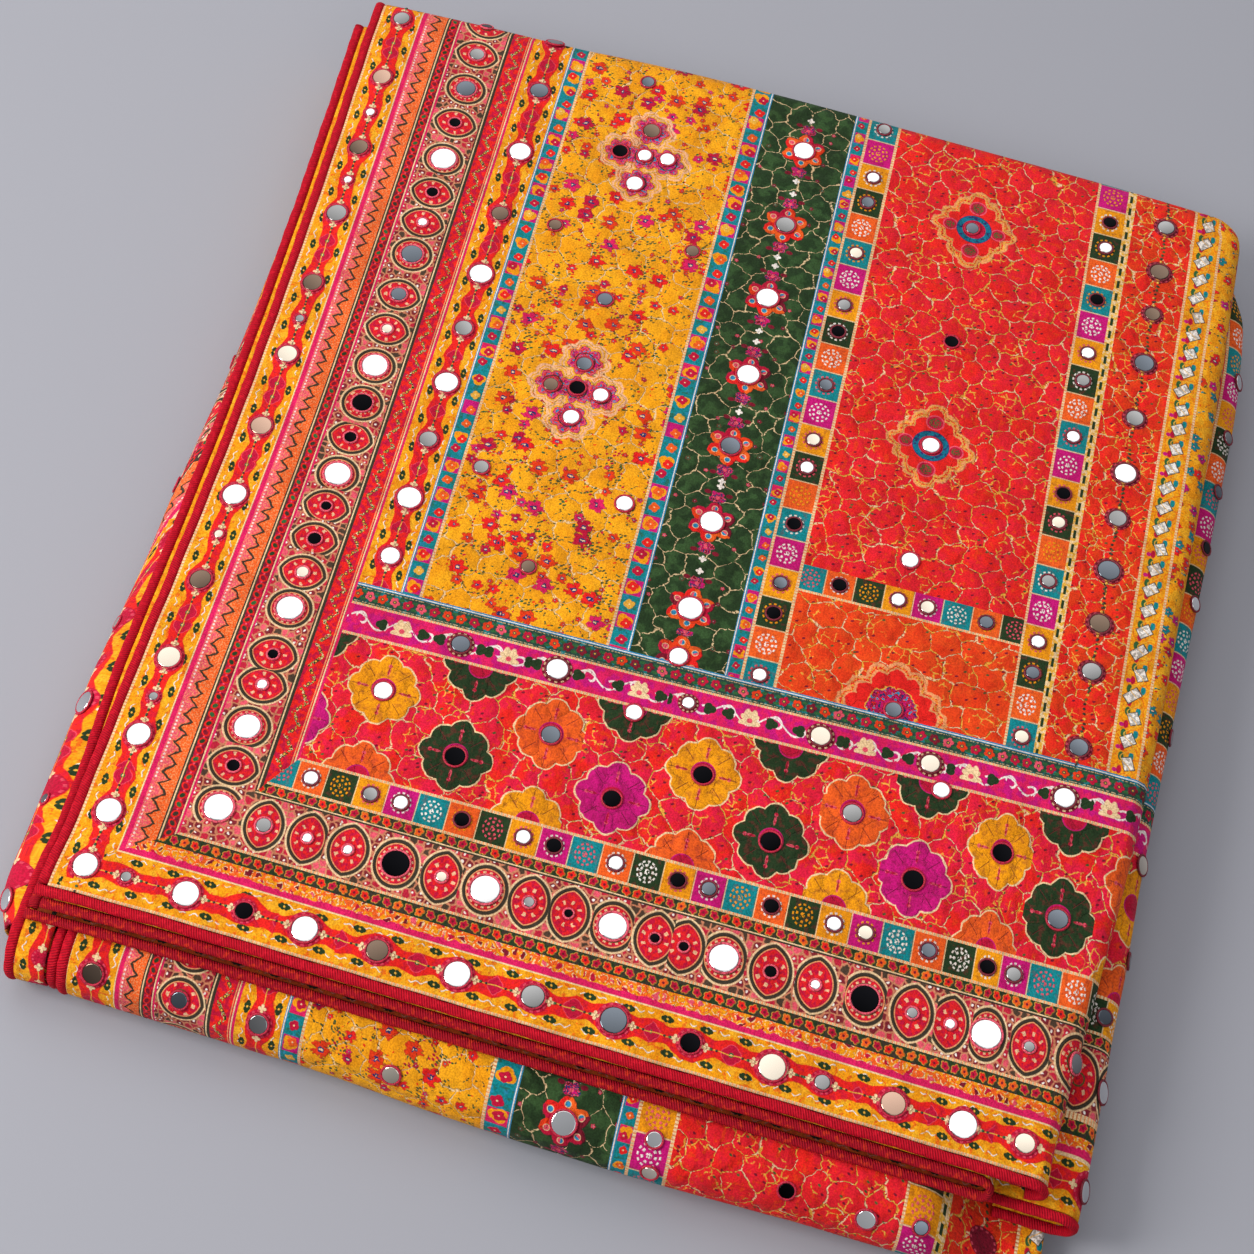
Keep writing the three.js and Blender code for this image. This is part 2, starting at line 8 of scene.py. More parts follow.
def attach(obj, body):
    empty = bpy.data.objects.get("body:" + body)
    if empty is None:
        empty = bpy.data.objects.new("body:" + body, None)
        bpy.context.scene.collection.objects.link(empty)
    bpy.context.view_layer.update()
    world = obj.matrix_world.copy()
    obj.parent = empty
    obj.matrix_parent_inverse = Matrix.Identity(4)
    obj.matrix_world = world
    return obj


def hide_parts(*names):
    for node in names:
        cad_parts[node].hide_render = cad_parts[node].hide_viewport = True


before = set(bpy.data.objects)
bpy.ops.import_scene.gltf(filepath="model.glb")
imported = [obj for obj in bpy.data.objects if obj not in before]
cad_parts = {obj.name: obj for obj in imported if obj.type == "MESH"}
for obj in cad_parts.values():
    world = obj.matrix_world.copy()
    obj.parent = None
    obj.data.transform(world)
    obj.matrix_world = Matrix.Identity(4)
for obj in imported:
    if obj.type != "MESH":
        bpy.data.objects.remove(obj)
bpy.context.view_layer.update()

# The dupatta lies folded. Lengths are in millimetres until a point is laid, and x and y start
# at the front left corner of the top stretch.
random.seed(7)
mm = 0.001
pi = math.pi

camera = {"lens": 74.64, "sensor": 36.0, "at": (0.0654, -0.6478, 1.0934),
          "right": (0.97420, 0.21956, 0.05226), "up": (-0.21605, 0.84027, 0.49726)}
lights = {
    "overhead": {"at": (-0.4, 1.1, 1.85), "size": 2.7, "power": 25, "tint": (1, 0.99, 0.97)},
    "window": {"at": (-1.7, -0.6, 1.4), "size": 1.0, "power": 47, "tint": (1, 0.98, 0.95)},
    "fill": {"at": (0.9, -1.6, 1.7), "size": 1.4, "power": 8, "tint": (0.95, 0.97, 1)},
}
lightAim = Vector((0, 0, 0.03))
floorTint = (0.30, 0.303, 0.34)
airTint, airPower = (0.93, 0.95, 1.0), 0.4


def setCamera():
    right = Vector(camera["right"]).normalized()
    up = Vector(camera["up"])
    up = (up - right * up.dot(right)).normalized()
    data = bpy.data.cameras.new("camera")
    data.lens, data.sensor_width = camera["lens"], camera["sensor"]
    data.sensor_fit = "HORIZONTAL"
    data.clip_start, data.clip_end = 0.05, 20
    made = bpy.data.objects.new("camera", data)
    turn = Matrix((right, up, right.cross(up))).transposed().to_4x4()
    made.matrix_world = Matrix.Translation(camera["at"]) @ turn
    bpy.context.collection.objects.link(made)
    bpy.context.scene.camera = made


def setLights():
    for name, one in lights.items():
        data = bpy.data.lights.new(name, "AREA")
        data.shape, data.size = "SQUARE", one["size"]
        data.energy, data.color = one["power"], one["tint"]
        made = bpy.data.objects.new(name, data)
        turn = (lightAim - Vector(one["at"])).to_track_quat("-Z", "Y")
        made.matrix_world = Matrix.Translation(one["at"]) @ turn.to_matrix().to_4x4()
        bpy.context.collection.objects.link(made)
    world = bpy.data.worlds.new("air")
    world.use_nodes = True
    world.node_tree.nodes["Background"].inputs["Color"].default_value = (*airTint, 1)
    world.node_tree.nodes["Background"].inputs["Strength"].default_value = airPower
    bpy.context.scene.world = world
    bpy.context.scene.view_settings.view_transform = "Standard"


# a shader's socket, so that sums are written as Python expressions
class Wire:
    def __init__(self, socket):
        self.socket = socket

    # any node: its type, its settings, then its sockets' values or links
    def make(self, kind, settings, values, out=0):
        tree = self.socket.id_data
        node = tree.nodes.new(kind)
        for key, value in settings.items():
            if key == "stops":
                ramp = node.color_ramp
                ramp.interpolation = "CONSTANT"
                while len(ramp.elements) < len(value):
                    ramp.elements.new(1)
                for element, (at, colour) in zip(ramp.elements, value):
                    element.position, element.color = at, colour
            else:
                setattr(node, key, value)
        for slot, value in values.items():
            if isinstance(value, Wire):
                tree.links.new(value.socket, node.inputs[slot])
            else:
                node.inputs[slot].default_value = value
        return Wire(node.outputs[out])

    def math(self, operation, *rest, clamp=False):
        sums = dict(enumerate((self, *rest)))
        return self.make("ShaderNodeMath", {"operation": operation, "use_clamp": clamp}, sums)

    def __add__(self, other):
        return self.math("ADD", other)

    def __sub__(self, other):
        return self.math("SUBTRACT", other)

    def __mul__(self, other):
        return self.math("MULTIPLY", other)

    def __truediv__(self, other):
        return self.math("DIVIDE", other)

    def __rsub__(self, other):
        return self.math("MULTIPLY_ADD", -1.0, other)

    def __gt__(self, other):
        return self.math("GREATER_THAN", other)

    def __lt__(self, other):
        return self.math("LESS_THAN", other)

    def __neg__(self):
        return self * -1.0

    def __abs__(self):
        return self.math("ABSOLUTE")

    __radd__ = __add__
    __rmul__ = __mul__

    def most(self, other):
        return self.math("MAXIMUM", other)

    def least(self, other):
        return self.math("MINIMUM", other)

    def cosine(self):
        return self.math("COSINE")

    def sine(self):
        return self.math("SINE")

    def wrap(self, period):
        return self.math("WRAP", period / 2, -period / 2)

    def index(self, period):
        return (self / period).math("ROUND")

    def wave(self, period, shift=0.0):
        return self.math("MULTIPLY_ADD", 2 * pi / period, shift).sine()


def dye(code):
    parts = [int(code[i:i + 2], 16) / 255 for i in (0, 2, 4)]
    return (*[p / 12.92 if p < 0.04045 else ((p + 0.055) / 1.055) ** 2.4 for p in parts], 1.0)


def inside(d, soft=0.28):
    return d.math("MULTIPLY_ADD", -1 / soft, 0.5, clamp=True)


def stroke(d, half, soft=0.28):
    return inside(abs(d) - half, soft)


def flatPoint(x, y):
    return x.make("ShaderNodeCombineXYZ", {}, {0: x, 1: y})


def far(x, y):
    return x.make("ShaderNodeVectorMath", {"operation": "LENGTH"}, {0: flatPoint(x, y)}, 1)


def dot(x, y, size):
    return inside(far(x, y) - size)


def bearing(x, y):
    return y.math("ARCTAN2", x)


def oval(x, y, wide, high):
    return (far(x / wide, y / high) - 1) * min(wide, high)


def diamond(x, y, wide, high):
    return (abs(x) / wide + abs(y) / high - 1) * min(wide, high) * 0.7


def box(x, y, wide, high):
    return (abs(x) - wide).most(abs(y) - high)


def petals(x, y, count, size, deep, turn=0.0):
    lobe = abs(bearing(x, y).math("MULTIPLY_ADD", count / 2, turn).cosine())
    return far(x, y) - lobe.math("MULTIPLY_ADD", size * deep, size * (1 - deep))


def smooth(x, low, high):
    return x.make("ShaderNodeMapRange", {"interpolation_type": "SMOOTHSTEP"}, {0: x, 1: low, 2: high})


# a colour is a dye's name, four numbers or a wire
def hue(colour):
    return dyes[colour] if isinstance(colour, str) else colour


def paint(under, colour, mask, way="MIX"):
    settings = {"data_type": "RGBA", "blend_type": way}
    return mask.make("ShaderNodeMix", settings, {0: mask, 6: hue(under), 7: hue(colour)}, 2)


def shade(under, colour, mask):
    return paint(under, colour, mask, "MULTIPLY")


def pick(value, colours):
    n = len(colours)
    stops = [(i / n, hue(colour)) for i, colour in enumerate(colours)]
    return value.make("ShaderNodeValToRGB", {"stops": stops}, {0: value})


def cycle(k, shift, colours):
    n = len(colours)
    return pick((k + (shift + 0.5)).math("MODULO", n).math("ADD", n).math("MODULO", n) / n, colours)


def chance(k):
    return k.make("ShaderNodeTexWhiteNoise", {"noise_dimensions": "1D"}, {"W": k})


def cloudy(x, y, size, detail=2.0):
    return x.make("ShaderNodeTexNoise", {"noise_dimensions": "2D"},
                  {"Vector": flatPoint(x, y), "Scale": 1 / size, "Detail": detail})


def patchy(x, y, size, low, high):
    return smooth(cloudy(x, y, size), low, high)


# a wandering net of cells: how far its lines are, in millimetres, and each cell's own number
def netting(x, y, cell, loose=0.55):
    values = {"Vector": flatPoint(x, y), "Scale": 1 / cell, "Randomness": loose}
    settings = {"voronoi_dimensions": "2D", "feature": "DISTANCE_TO_EDGE"}
    edge = x.make("ShaderNodeTexVoronoi", settings, values)
    own = x.make("ShaderNodeTexVoronoi", {"voronoi_dimensions": "2D"}, values, 1)
    return edge * cell, own.make("ShaderNodeSeparateColor", {}, {0: own})


# the same for a honeycomb of six-sided cells
def honeycomb(x, y, cell):
    rise = cell * 1.732
    even = (x.wrap(cell), y.wrap(rise))
    odd = ((x + cell / 2).wrap(cell), (y + rise / 2).wrap(rise))
    nearEven, nearOdd = far(*even), far(*odd)
    other = nearEven > nearOdd
    side = odd[0] * other + even[0] * (1 - other)
    up = odd[1] * other + even[1] * (1 - other)
    edge = (abs(nearEven - nearOdd) * 0.62).least(cell / 2 - abs(side))
    return edge, chance((x - side) * 0.37 + (y - up) * 0.73 + 0.5)


# places strewn unevenly: where each point lies from the nearest, and that one's own number
def strewn(x, y, cell, loose=0.8):
    point = flatPoint(x, y)
    values = {"Vector": point, "Scale": 1 / cell, "Randomness": loose}
    centre = x.make("ShaderNodeTexVoronoi", {"voronoi_dimensions": "2D"}, values, 2)
    own = Wire(centre.socket.node.outputs[1])
    aside = x.make("ShaderNodeVectorMath", {"operation": "SUBTRACT"}, {0: point, 1: centre})
    parts = x.make("ShaderNodeSeparateXYZ", {}, {0: aside})
    return parts, Wire(parts.socket.node.outputs[1]), own.make("ShaderNodeSeparateColor", {}, {0: own})


# the cloth's dyes, by name
dyes = {name: dye(code) for name, code in {
    "red": "e9201a", "crimson": "c00c38", "pink": "dc1a5e", "rose": "e8546a", "magenta": "c80f76",
    "orange": "ef5f1c", "ember": "e43a10", "marigold": "f09a08", "yellow": "f4ae20", "cream": "f0d0a0",
    "white": "f6eee6", "peach": "ea9c66", "olive": "55562a", "bark": "3b3328", "leaf": "2f6236",
    "green": "22391c", "pine": "25473c", "teal": "08848c", "blue": "2a86b4", "navy": "27306a",
    "wine": "7c1028", "gold": "e8b040", "grey": "b9b4ac"}.items()}


# The cloth that a print paints. Its places are in millimetres: p and q on the whole cloth, b from
# the band's edge, m from the nearest mirror along the row, and size is that mirror's. Each print
# lays its colours on it and returns its relief.
class Cloth:
    def __init__(self, p, q, m, b, along, size, wide):
        self.p, self.q, self.m, self.b = p, q, m, b
        self.along, self.size, self.wide = along, size, wide
        self.colour = None

    def lay(self, colour, mask):
        self.colour = paint(self.colour, colour, mask)


def wobbled(p, q, size, reach):
    across, down = (cloudy(at, q, size, 1) - 0.5 for at in (p, p + 90))
    return p + across * reach * 2, q + down * reach * 2


# a stitched net: how far its lines are, the thread itself and each cell's own number
def stitchedNet(p, q, cell, half=0.3, loose=0.6):
    thread = smooth(cloudy(p, q, 1.0, 0), 0.29, 0.38)
    p, q = wobbled(p, q, 3.6, 1.1)
    if loose < 0.7:
        edge, own = honeycomb(*wobbled(p, q, 16, 5.5), cell)
    else:
        edge, own = netting(p, q, cell, loose)
    return edge, stroke(edge, half, 0.3) * thread, own


def blend(value, names, low=0, high=1):
    return pick(value.make("ShaderNodeMapRange", {}, {0: value, 1: low, 2: high}), names)


# rings of stitches round a mirror
def ringed(c, x, y, tint, light):
    reach = far(x, y) - c.size * 0.5
    c.lay(tint, inside(reach - 2.0))
    angle = bearing(x, y)
    dots = stroke(reach - 1.2, 0.45) * ((angle * 13).cosine() > 0.1)
    c.lay(light, dots * 0.7)
    return inside(reach - 2.0, 0.8) * 0.35


def smallFlowers(c, cell, size, names, share, seed=0.0, loose=0.85):
    x, y, own = strewn(c.p + seed, c.q + seed * 0.7, cell, loose)
    here = own < share
    x = x + (cloudy(c.p, c.q, 1.6, 0) - 0.5) * size * 0.7
    bloom = petals(x, y, 5, size, 0.4)
    c.lay("wine", inside(bloom - 0.2) * here * 0.7)
    c.lay(pick(own / share, names), inside(bloom + 0.15) * here)
    heart = far(x, y)
    c.lay("navy", inside(heart - size * 0.3) * here)
    c.lay("cream", inside(heart - size * 0.13) * here)
    return inside(bloom, 0.6) * here


# leaves in rows along wandering stems
def stems(c, size, names, seed=0.0):
    p, q = c.p + seed, c.q
    stem = abs(cloudy(p, q, size, 1) - 0.5) + cloudy(p, q, 2.0, 0) * 0.03
    x, y, own = strewn(p, q, 2.0, 0.9)
    leaf = inside(oval(x + y * 0.6, y - x * 0.6, 1.05, 0.62), 0.2) * (stem < 0.036)
    c.lay(blend(own, names), leaf)


def wavyBorder(c):
    m, b, along = c.m, c.b - 11.4, c.along
    big = smooth(c.size, 6.0, 8.0)
    swell = inside(abs(m) - 6.5, 7.0) * (big * 2.2 + 0.6) + inside(abs(abs(m) - 18.0) - 3.5, 6.0) * 1.3
    centre = b + along.wave(31) * 0.9 + (cloudy(along, b, 7) - 0.5) * 1.6
    ribbon = inside(abs(centre) - swell - 4.1, 0.4)
    c.colour = paint("marigold", "yellow", patchy(along, b, 4, 0.45, 0.6))
    c.lay("ember", patchy(along, b + 40, 3, 0.6, 0.66) * 0.6)
    side = abs(b)
    squiggle = side - 8.1 + along.wave(4.6) * 0.55 + along.wave(13) * 0.5
    dash = stroke(squiggle, 0.3) * (cloudy(along, b, 4.2, 0) > 0.47)
    c.lay("white", dash * 0.9)
    x = (along + b * 0.2).wrap(17.3)
    leaves = inside(petals(abs(x) - 1.2, side - 7.3, 3, 1.7, 0.3))
    c.lay("green", leaves)
    c.lay("gold", dot(x, side - 7.3, 0.5))
    c.lay("red", ribbon)
    c.lay("crimson", ribbon * patchy(along, b, 3.5, 0.52, 0.6) * 0.5)
    pod = petals(abs(m) - 18.0, b, 4, 4.3, 0.16)
    c.lay("rose", inside(pod - 0.3) * 0.8)
    c.lay("crimson", inside(pod))
    c.lay("leaf", dot(abs(m) - 18.0, b, 1.1))
    c.lay("cream", dot(abs(m) - 18.0, b, 0.5))
    line = stroke(b - along.wave(9) * 0.2, 0.22)
    c.lay("gold", line * ribbon)
    lift = ringed(c, m, b, "crimson", "rose")
    star = inside(petals(abs(m) - c.size * 0.5 - 2.3, b, 4, 2.1, 0.55))
    c.lay("cream", star)
    return lift + ribbon * 0.2 + star * 0.3 + dash * 0.25


def circleBand(c):
    m, b = c.m, c.b - 13.5
    p, q = wobbled(c.p, c.q, 3.0, 0.8)
    edge, own = netting(p, q, 3.5, 0.75)
    leaves = blend(own, ("wine", "crimson", "wine", "rose", "crimson", "bark"))
    c.colour = paint(dye("cc8462"), leaves, inside(0.4 - edge, 0.4) * 0.95)
    x, y, luck = strewn(p, q, 3.5, 0.75)
    c.lay("white", dot(x, y, 0.55) * (luck < 0.5))
    big = c.size > 8.5
    ring = oval(m, b, 10.2, 11.2)
    eye = far(abs(m) + 3.2, b) - 12.6
    d = ring * big + eye * (1 - big)
    c.lay("cream", inside(d - 0.9) * 0.9)
    c.lay("bark", inside(d))
    c.lay("peach", inside(d + 1.5))
    c.lay("crimson", inside(d + 2.0))
    c.lay("red", inside(d + 2.5) * patchy(p, q, 2.0, 0.4, 0.55) * 0.8)
    reach = far(m, b) - c.size * 0.5
    angle = bearing(m, b)
    spokes = (angle * 8 + cloudy(p, q, 3) * 3).cosine() > 0.62
    rays = stroke(reach - 3.2, 0.9) * spokes * inside(d + 2.2)
    dots = stroke(reach - 1.1, 0.5) * ((angle * 17).cosine() > 0.1) * big
    c.lay("cream", rays.most(dots) * 0.75)
    rim = stroke(reach - 0.3, 0.35)
    c.lay("olive", rim)
    return inside(d) * 0.15 + stroke(d + 0.6, 0.7) * 0.45 + dots * 0.2


def squaresBand(c):
    k = c.m.math("ROUND")
    x, y = (c.m - k) * 15.5, c.b - 7.0
    c.colour = cycle(k, 0, ("teal", "orange", "green", "marigold", "magenta"))
    c.lay("wine", patchy(c.along, y, 3, 0.55, 0.7) * 0.3)
    reach = far(x, y)
    angle = bearing(x, y)
    light = paint("white", paint("rose", "marigold", chance(k) > 0.8), chance(k) > 0.55)
    dots = stroke(reach - 4.7, 0.42) * ((angle * 12).cosine() > -0.1)
    inner = stroke(reach - 2.9, 0.55) * ((angle * 7 + k).cosine() > 0.1)
    spokes = inside(abs((angle * 4).sine()) * reach * 0.3 - 0.22) * stroke(reach - 3.7, 1.0)
    spokes = spokes * (chance(k) < 0.5)
    heart = inside(reach - 1.3) * (cloudy(x, y + k, 0.9, 0) > 0.47)
    mark = dots.most(inner).most(spokes).most(heart)
    c.lay(light, mark * 0.9)
    seam = stroke(abs(x) - 7.75, 0.3)
    c.lay("cream", seam * 0.8)
    return mark * 0.25 - seam * 0.3


def patchBand(c):
    half = c.wide / 2
    pitch = 4.6 + c.wide * 0.55
    k = c.along.index(pitch)
    x, y = c.along.wrap(pitch), c.b - half
    odd = abs(k.math("MODULO", 2.0)) > 0.5
    luck = chance(k)
    c.colour = paint("teal", "blue", patchy(c.along, y, 3, 0.55, 0.65) * 0.6)
    c.lay("leaf", patchy(c.along, y + 20, 3, 0.55, 0.65) * 0.6)
    c.lay(blend(luck, ("magenta", "magenta", "teal", "pink")),
          odd * inside(box(x, y, pitch * 0.5 - 0.3, half - 0.2)))
    gold = petals(x + luck, y + 0.6 - luck, 3, half * 0.95, 0.3, luck * 3)
    gold = gold + (cloudy(c.along, y, 2) - 0.5) * 1.2
    c.lay("marigold", inside(gold) * (odd * 0.6 + luck > 0.75))
    shift = (chance(k + 7) - 0.5) * half
    bloom = petals(x - shift, y + shift * 0.6, 4, half * 0.64, 0.25, 0.6)
    bloom = bloom + (cloudy(c.along, y + 9, 2) - 0.5)
    c.lay(blend(chance(k + 3), ("crimson", "red", "orange", "gold")), inside(bloom))
    c.lay("cream", dot(x - shift, y + shift * 0.6, 0.4))
    return inside(bloom) * 0.2


def marigoldField(c):
    p, q = c.p, c.q
    c.colour = paint(dye("f2a00c"), dye("f5a914"), patchy(p, q, 14, 0.4, 0.6))
    edge, line, _ = stitchedNet(p, q, 15, 0.32)
    c.lay("cream", line * 0.9)
    stems(c, 19, ("olive", "leaf", "olive", "crimson", "olive"))
    stems(c, 12, ("olive", "ember", "olive", "leaf"), 60)
    reds = ("red", "ember", "crimson", "ember", "pink", "red")
    high = smallFlowers(c, 6.4, 1.5, reds, 0.22, 31)
    smallFlowers(c, 9.5, 2.9, reds, 0.24, 77)
    low = smallFlowers(c, 14.0, 4.6, reds, 0.54)
    # the five-mirror groups stand in a bed of petals with a stitched edge
    x, y = p - 163, c.m
    side, rise = abs(x), abs(y)
    reach = far(x, y).least(far(side - 12.5, y)).least(far(x, rise - 18))
    reach = reach + (cloudy(p, q, 3) - 0.5) * 1.6
    bloom = petals(x, y, 7, 8.4, 0.26)
    for one in (petals(side - 12.5, y, 7, 8.8, 0.26), petals(x, rise - 18, 7, 9.2, 0.26)):
        bloom = bloom.least(one)
    bloom = bloom + (cloudy(p, q, 2.4) - 0.5) * 1.8
    c.lay("gold", inside(bloom - 4.4) * 0.4)
    scallop = bloom - 3.4
    c.lay(dye("f2b890"), stroke(scallop, 0.7).most(stroke(scallop + 1.8, 0.4)) * 0.95)
    bed = inside(bloom)
    tints = ("magenta", "navy", "crimson", "ember", "rose", "crimson", "blue")
    c.lay(blend(cloudy(p + 9, q, 1.7, 1), tints, 0.34, 0.66), bed)
    c.lay("rose", stroke(bloom + 1.0, 0.35) * 0.9)
    c.lay("bark", stroke(reach - 4.9, 0.3))
    return low * 0.3 + high * 0.15 - line * 0.45 + smooth(edge, 0, 5) * 0.6 + bed * 0.4


def greenPanel(c):
    p, q, x, y = c.p, c.q, c.b - 22.5, c.m
    c.colour = paint("green", dye("33502a"), patchy(p, q, 7, 0.45, 0.62))
    edge, line, _ = stitchedNet(p, q, 13.5, 0.3)
    c.lay("cream", line * 0.85)
    smallFlowers(c, 11, 1.1, ("wine", "rose", "leaf"), 0.5)
    rise = abs(y)
    bud = petals(x, rise - 14.5, 5, 4.2, 0.3, 0.5) + (cloudy(p, q, 1.6) - 0.5) * 1.4
    c.lay(blend(cloudy(p, q, 2.2), ("magenta", "crimson", "navy", "rose", "wine"), 0.3, 0.7), inside(bud))
    c.lay("rose", dot(x, rise - 14.5, 1.0))
    c.lay("wine", inside(oval(abs(x) - 3.6 - rise * 0.1, rise - 17.0, 1.7, 1.2)))
    c.lay("white", inside(petals(x, rise - 21.5, 4, 1.9, 0.5)))
    angle = bearing(x, y)
    reach = far(x, y)
    bloom = petals(x, y, 6, 11.6, 0.3, pi / 2) + (cloudy(p, q, 2.4) - 0.5) * 1.6
    k = (angle * (3 / pi) + 0.5).math("FLOOR")
    petal = blend(chance(k + y.index(400) + c.size), ("crimson", "ember", "red", "orange", "wine"))
    c.lay("bark", inside(bloom - 0.4))
    c.lay(petal, inside(bloom))
    turn = (angle * (3 / pi)).math("FRACT") - 0.5
    eyes = oval(turn * reach, reach - 8.2, 1.2, 1.3)
    c.lay("cream", inside(eyes - 0.3))
    c.lay(paint("blue", "rose", chance(k) > 0.5), inside(eyes))
    return inside(bloom, 0.8) * 0.5 - line * 0.45 + smooth(edge, 0, 5) * 0.6


def redGround(c, low, high, cell):
    p, q = c.p, c.q
    edge, line, own = stitchedNet(p, q, cell, 0.36, 0.5)
    c.colour = paint(low, high, patchy(p, q, 9, 0.4, 0.62))
    c.lay(high, smooth(own, 0.6, 0.65) * 0.5)
    blotch = patchy(p + 30, q, 3.2, 0.58, 0.66) * smooth(edge, 0.5, 2.5)
    c.lay("ember", blotch * 0.8)
    _, curl, _ = stitchedNet(p + 44, q, cell * 0.36, 0.28, 1.0)
    grove = patchy(p + 50, q, cell * 0.8, 0.56, 0.61)
    c.lay("gold", curl * grove * 0.9)
    x, y, luck = strewn(p, q, 5.2)
    seed = inside(oval(x + y * 0.5, y - x * 0.5, 0.95, 0.6))
    c.lay("wine", seed * (luck < 0.34))
    c.lay("olive", seed * (luck > 0.86))
    glint = paint("cream", "gold", cloudy(p, q, 5, 0) > 0.5)
    c.lay(glint, line * 0.9)
    return smooth(edge, 0, 5.5) * 0.8 - line * 0.5


def redField(c):
    relief = redGround(c, "red", dye("e21c2c"), 14.0)
    p, q, x, y = c.p, c.q, c.p - 337, c.m
    side, rise = abs(x), abs(y)
    scallops = abs((bearing(x, y) * 6).cosine()) * 2.2
    bed = diamond(x, y, 20.5, 27).most(far(x / 0.86, y) - 23)
    bed = bed - scallops + (cloudy(p, q, 3.0) - 0.5) * 2.2
    c.lay("red", inside(bed))
    c.lay("peach", stroke(bed, 0.8).most(stroke(bed + 2.3, 0.5)) * 0.95)
    c.lay("gold", stroke(bed + 1.2, 1.4) * patchy(p, q, 1.0, 0.45, 0.55) * 0.8)
    buds = (far(side - 12.5, y) - 3.2).least(far(x, rise - 14.5) - 3.9)
    c.lay("rose", inside(buds - 0.7))
    c.lay("crimson", inside(buds))
    c.lay("olive", inside(buds + 0.9) * (cloudy(p, q, 0.9) > 0.47))
    reach = far(x, y)
    c.lay("navy", inside(reach - 9.2))
    c.lay(dye("05708c"), inside(reach - 8.8) * patchy(p, q, 2.4, 0.36, 0.46))
    c.lay("crimson", inside(reach - 6.0))
    return relief + stroke(bed + 0.8, 1.5) * 0.4


def emberField(c):
    relief = redGround(c, "ember", dye("ea4a14"), 14.5)
    p, q, x, y = c.p, c.q, c.p - 343, c.q - 184
    scallops = abs((bearing(x, y) * 6).cosine()) * 3.2
    bed = diamond(x, y, 26, 29).most(far(x, y) - 22)
    bed = bed - scallops + (cloudy(p, q, 3.2) - 0.5) * 2.6
    c.lay("red", inside(bed))
    c.lay("gold", stroke(bed + 1.4, 1.6) * patchy(p, q, 1.0, 0.45, 0.55) * 0.8)
    c.lay("peach", stroke(bed, 0.9).most(stroke(bed + 2.9, 0.6)) * 0.95)
    core = far(x, y) - 12 + (cloudy(p, q, 3) - 0.5) * 4
    tints = ("navy", "crimson", "magenta", "wine", "red", "blue")
    c.lay(blend(cloudy(p, q, 2.4), tints, 0.3, 0.7), inside(core))
    c.lay("gold", stroke(core, 0.3))
    return relief


def mirrorColumn(c):
    relief = redGround(c, "ember", "red", 11.5)
    m, b, along = c.m, c.b - 17.0, c.along
    bead = dot(along.wrap(2.7), b + along.wave(23) * 0.7, 0.75)
    c.lay(blend(chance(along.index(2.7)), ("bark", "olive", "gold", "bark")), bead)
    spray = stroke(abs(b) - abs(m) * 0.8 - c.size * 0.45, 0.3) * inside(abs(b) - 11)
    c.lay("gold", spray * (cloudy(m, b, 1.3) > 0.45))
    lift = ringed(c, m, b, "wine", "rose")
    return relief + lift + bead * 0.3


def shardBand(c):
    b, along = c.b - 6.5, c.along
    c.colour = paint("marigold", "yellow", patchy(along, b, 5, 0.45, 0.6))
    _, line, _ = stitchedNet(c.p, c.q, 5, 0.26, 1.0)
    c.lay("ember", line * 0.6)
    x, luck = along.wrap(12.5), chance(along.index(12.5))
    c.lay("crimson", inside(oval(x + 4.0, b + 2.4, 2.3, 1.2)))
    c.lay("magenta", dot(x + 4.6, b + 4.4, 1.2) * (luck > 0.4))
    c.lay("teal", inside(oval(x - 4.3, b - 3.2 + luck, 2.4, 1.2)))
    c.lay("leaf", inside(oval(x - 3.4, b + 3.4 - luck, 2.4, 1.3)))
    rise = b - luck * 3 + 1.5
    shard = diamond(x + rise * (luck - 0.3), rise - x * 0.25, 4.6, 4.0)
    c.lay("bark", inside(shard - 0.35))
    c.lay(paint("grey", "white", cloudy(along, b, 2) > 0.5), inside(shard))
    c.lay("gold", stroke(b + along.wave(12.5) * 2.6, 0.3) * 0.9)
    return inside(shard) * 0.5


def foldStrip(c):
    c.colour = paint("yellow", "marigold", patchy(c.p, c.q, 5, 0.42, 0.55))
    stems(c, 8, ("olive", "leaf", "teal", "ember"), 17)
    low = smallFlowers(c, 7.2, 3.0, ("crimson", "red", "magenta", "ember", "red", "teal"), 0.62)
    return low * 0.25


def zigzagBand(c):
    along, b = c.along, c.b
    tooth = abs((along + cloudy(along, b, 6) * 4).wrap(7.4)) - 1.85
    d = (b - 7.0 - tooth * 1.25) * 0.6
    c.colour = paint("orange", "rose", inside(d + 0.8, 1.6))
    c.lay("peach", smooth(cloudy(along, b, 0.9, 1), 0.5, 0.6) * 0.65)
    c.lay("pink", inside(b - 1.2))
    dabs = dot(along.wrap(1.9), b - 2.4, 0.55) * (cloudy(along, b, 5) > 0.42)
    c.lay("white", dabs * 0.8)
    line = stroke(d, 0.45)
    c.lay("bark", line)
    return line * 0.35


def berryStrip(c):
    along, y = c.along, c.b - c.wide / 2
    c.colour = paint("crimson", "wine", patchy(along, y, 3, 0.42, 0.55))
    edge = y + c.wide * 0.36 + (cloudy(along, y, 3) - 0.5) * 1.6
    c.lay("bark", inside(edge))
    x = along.wrap(4.6)
    reach = far(x, y - along.wave(9.2) * 0.5) - min(1.5, c.wide * 0.3)
    c.lay("red", stroke(reach, 0.45))
    c.lay(blend(chance(along.index(4.6)), ("green", "leaf", "bark", "wine")), inside(reach + 0.3))
    c.lay("rose", dot((along + 2.3).wrap(4.6), y, 0.45))
    return inside(reach) * 0.3


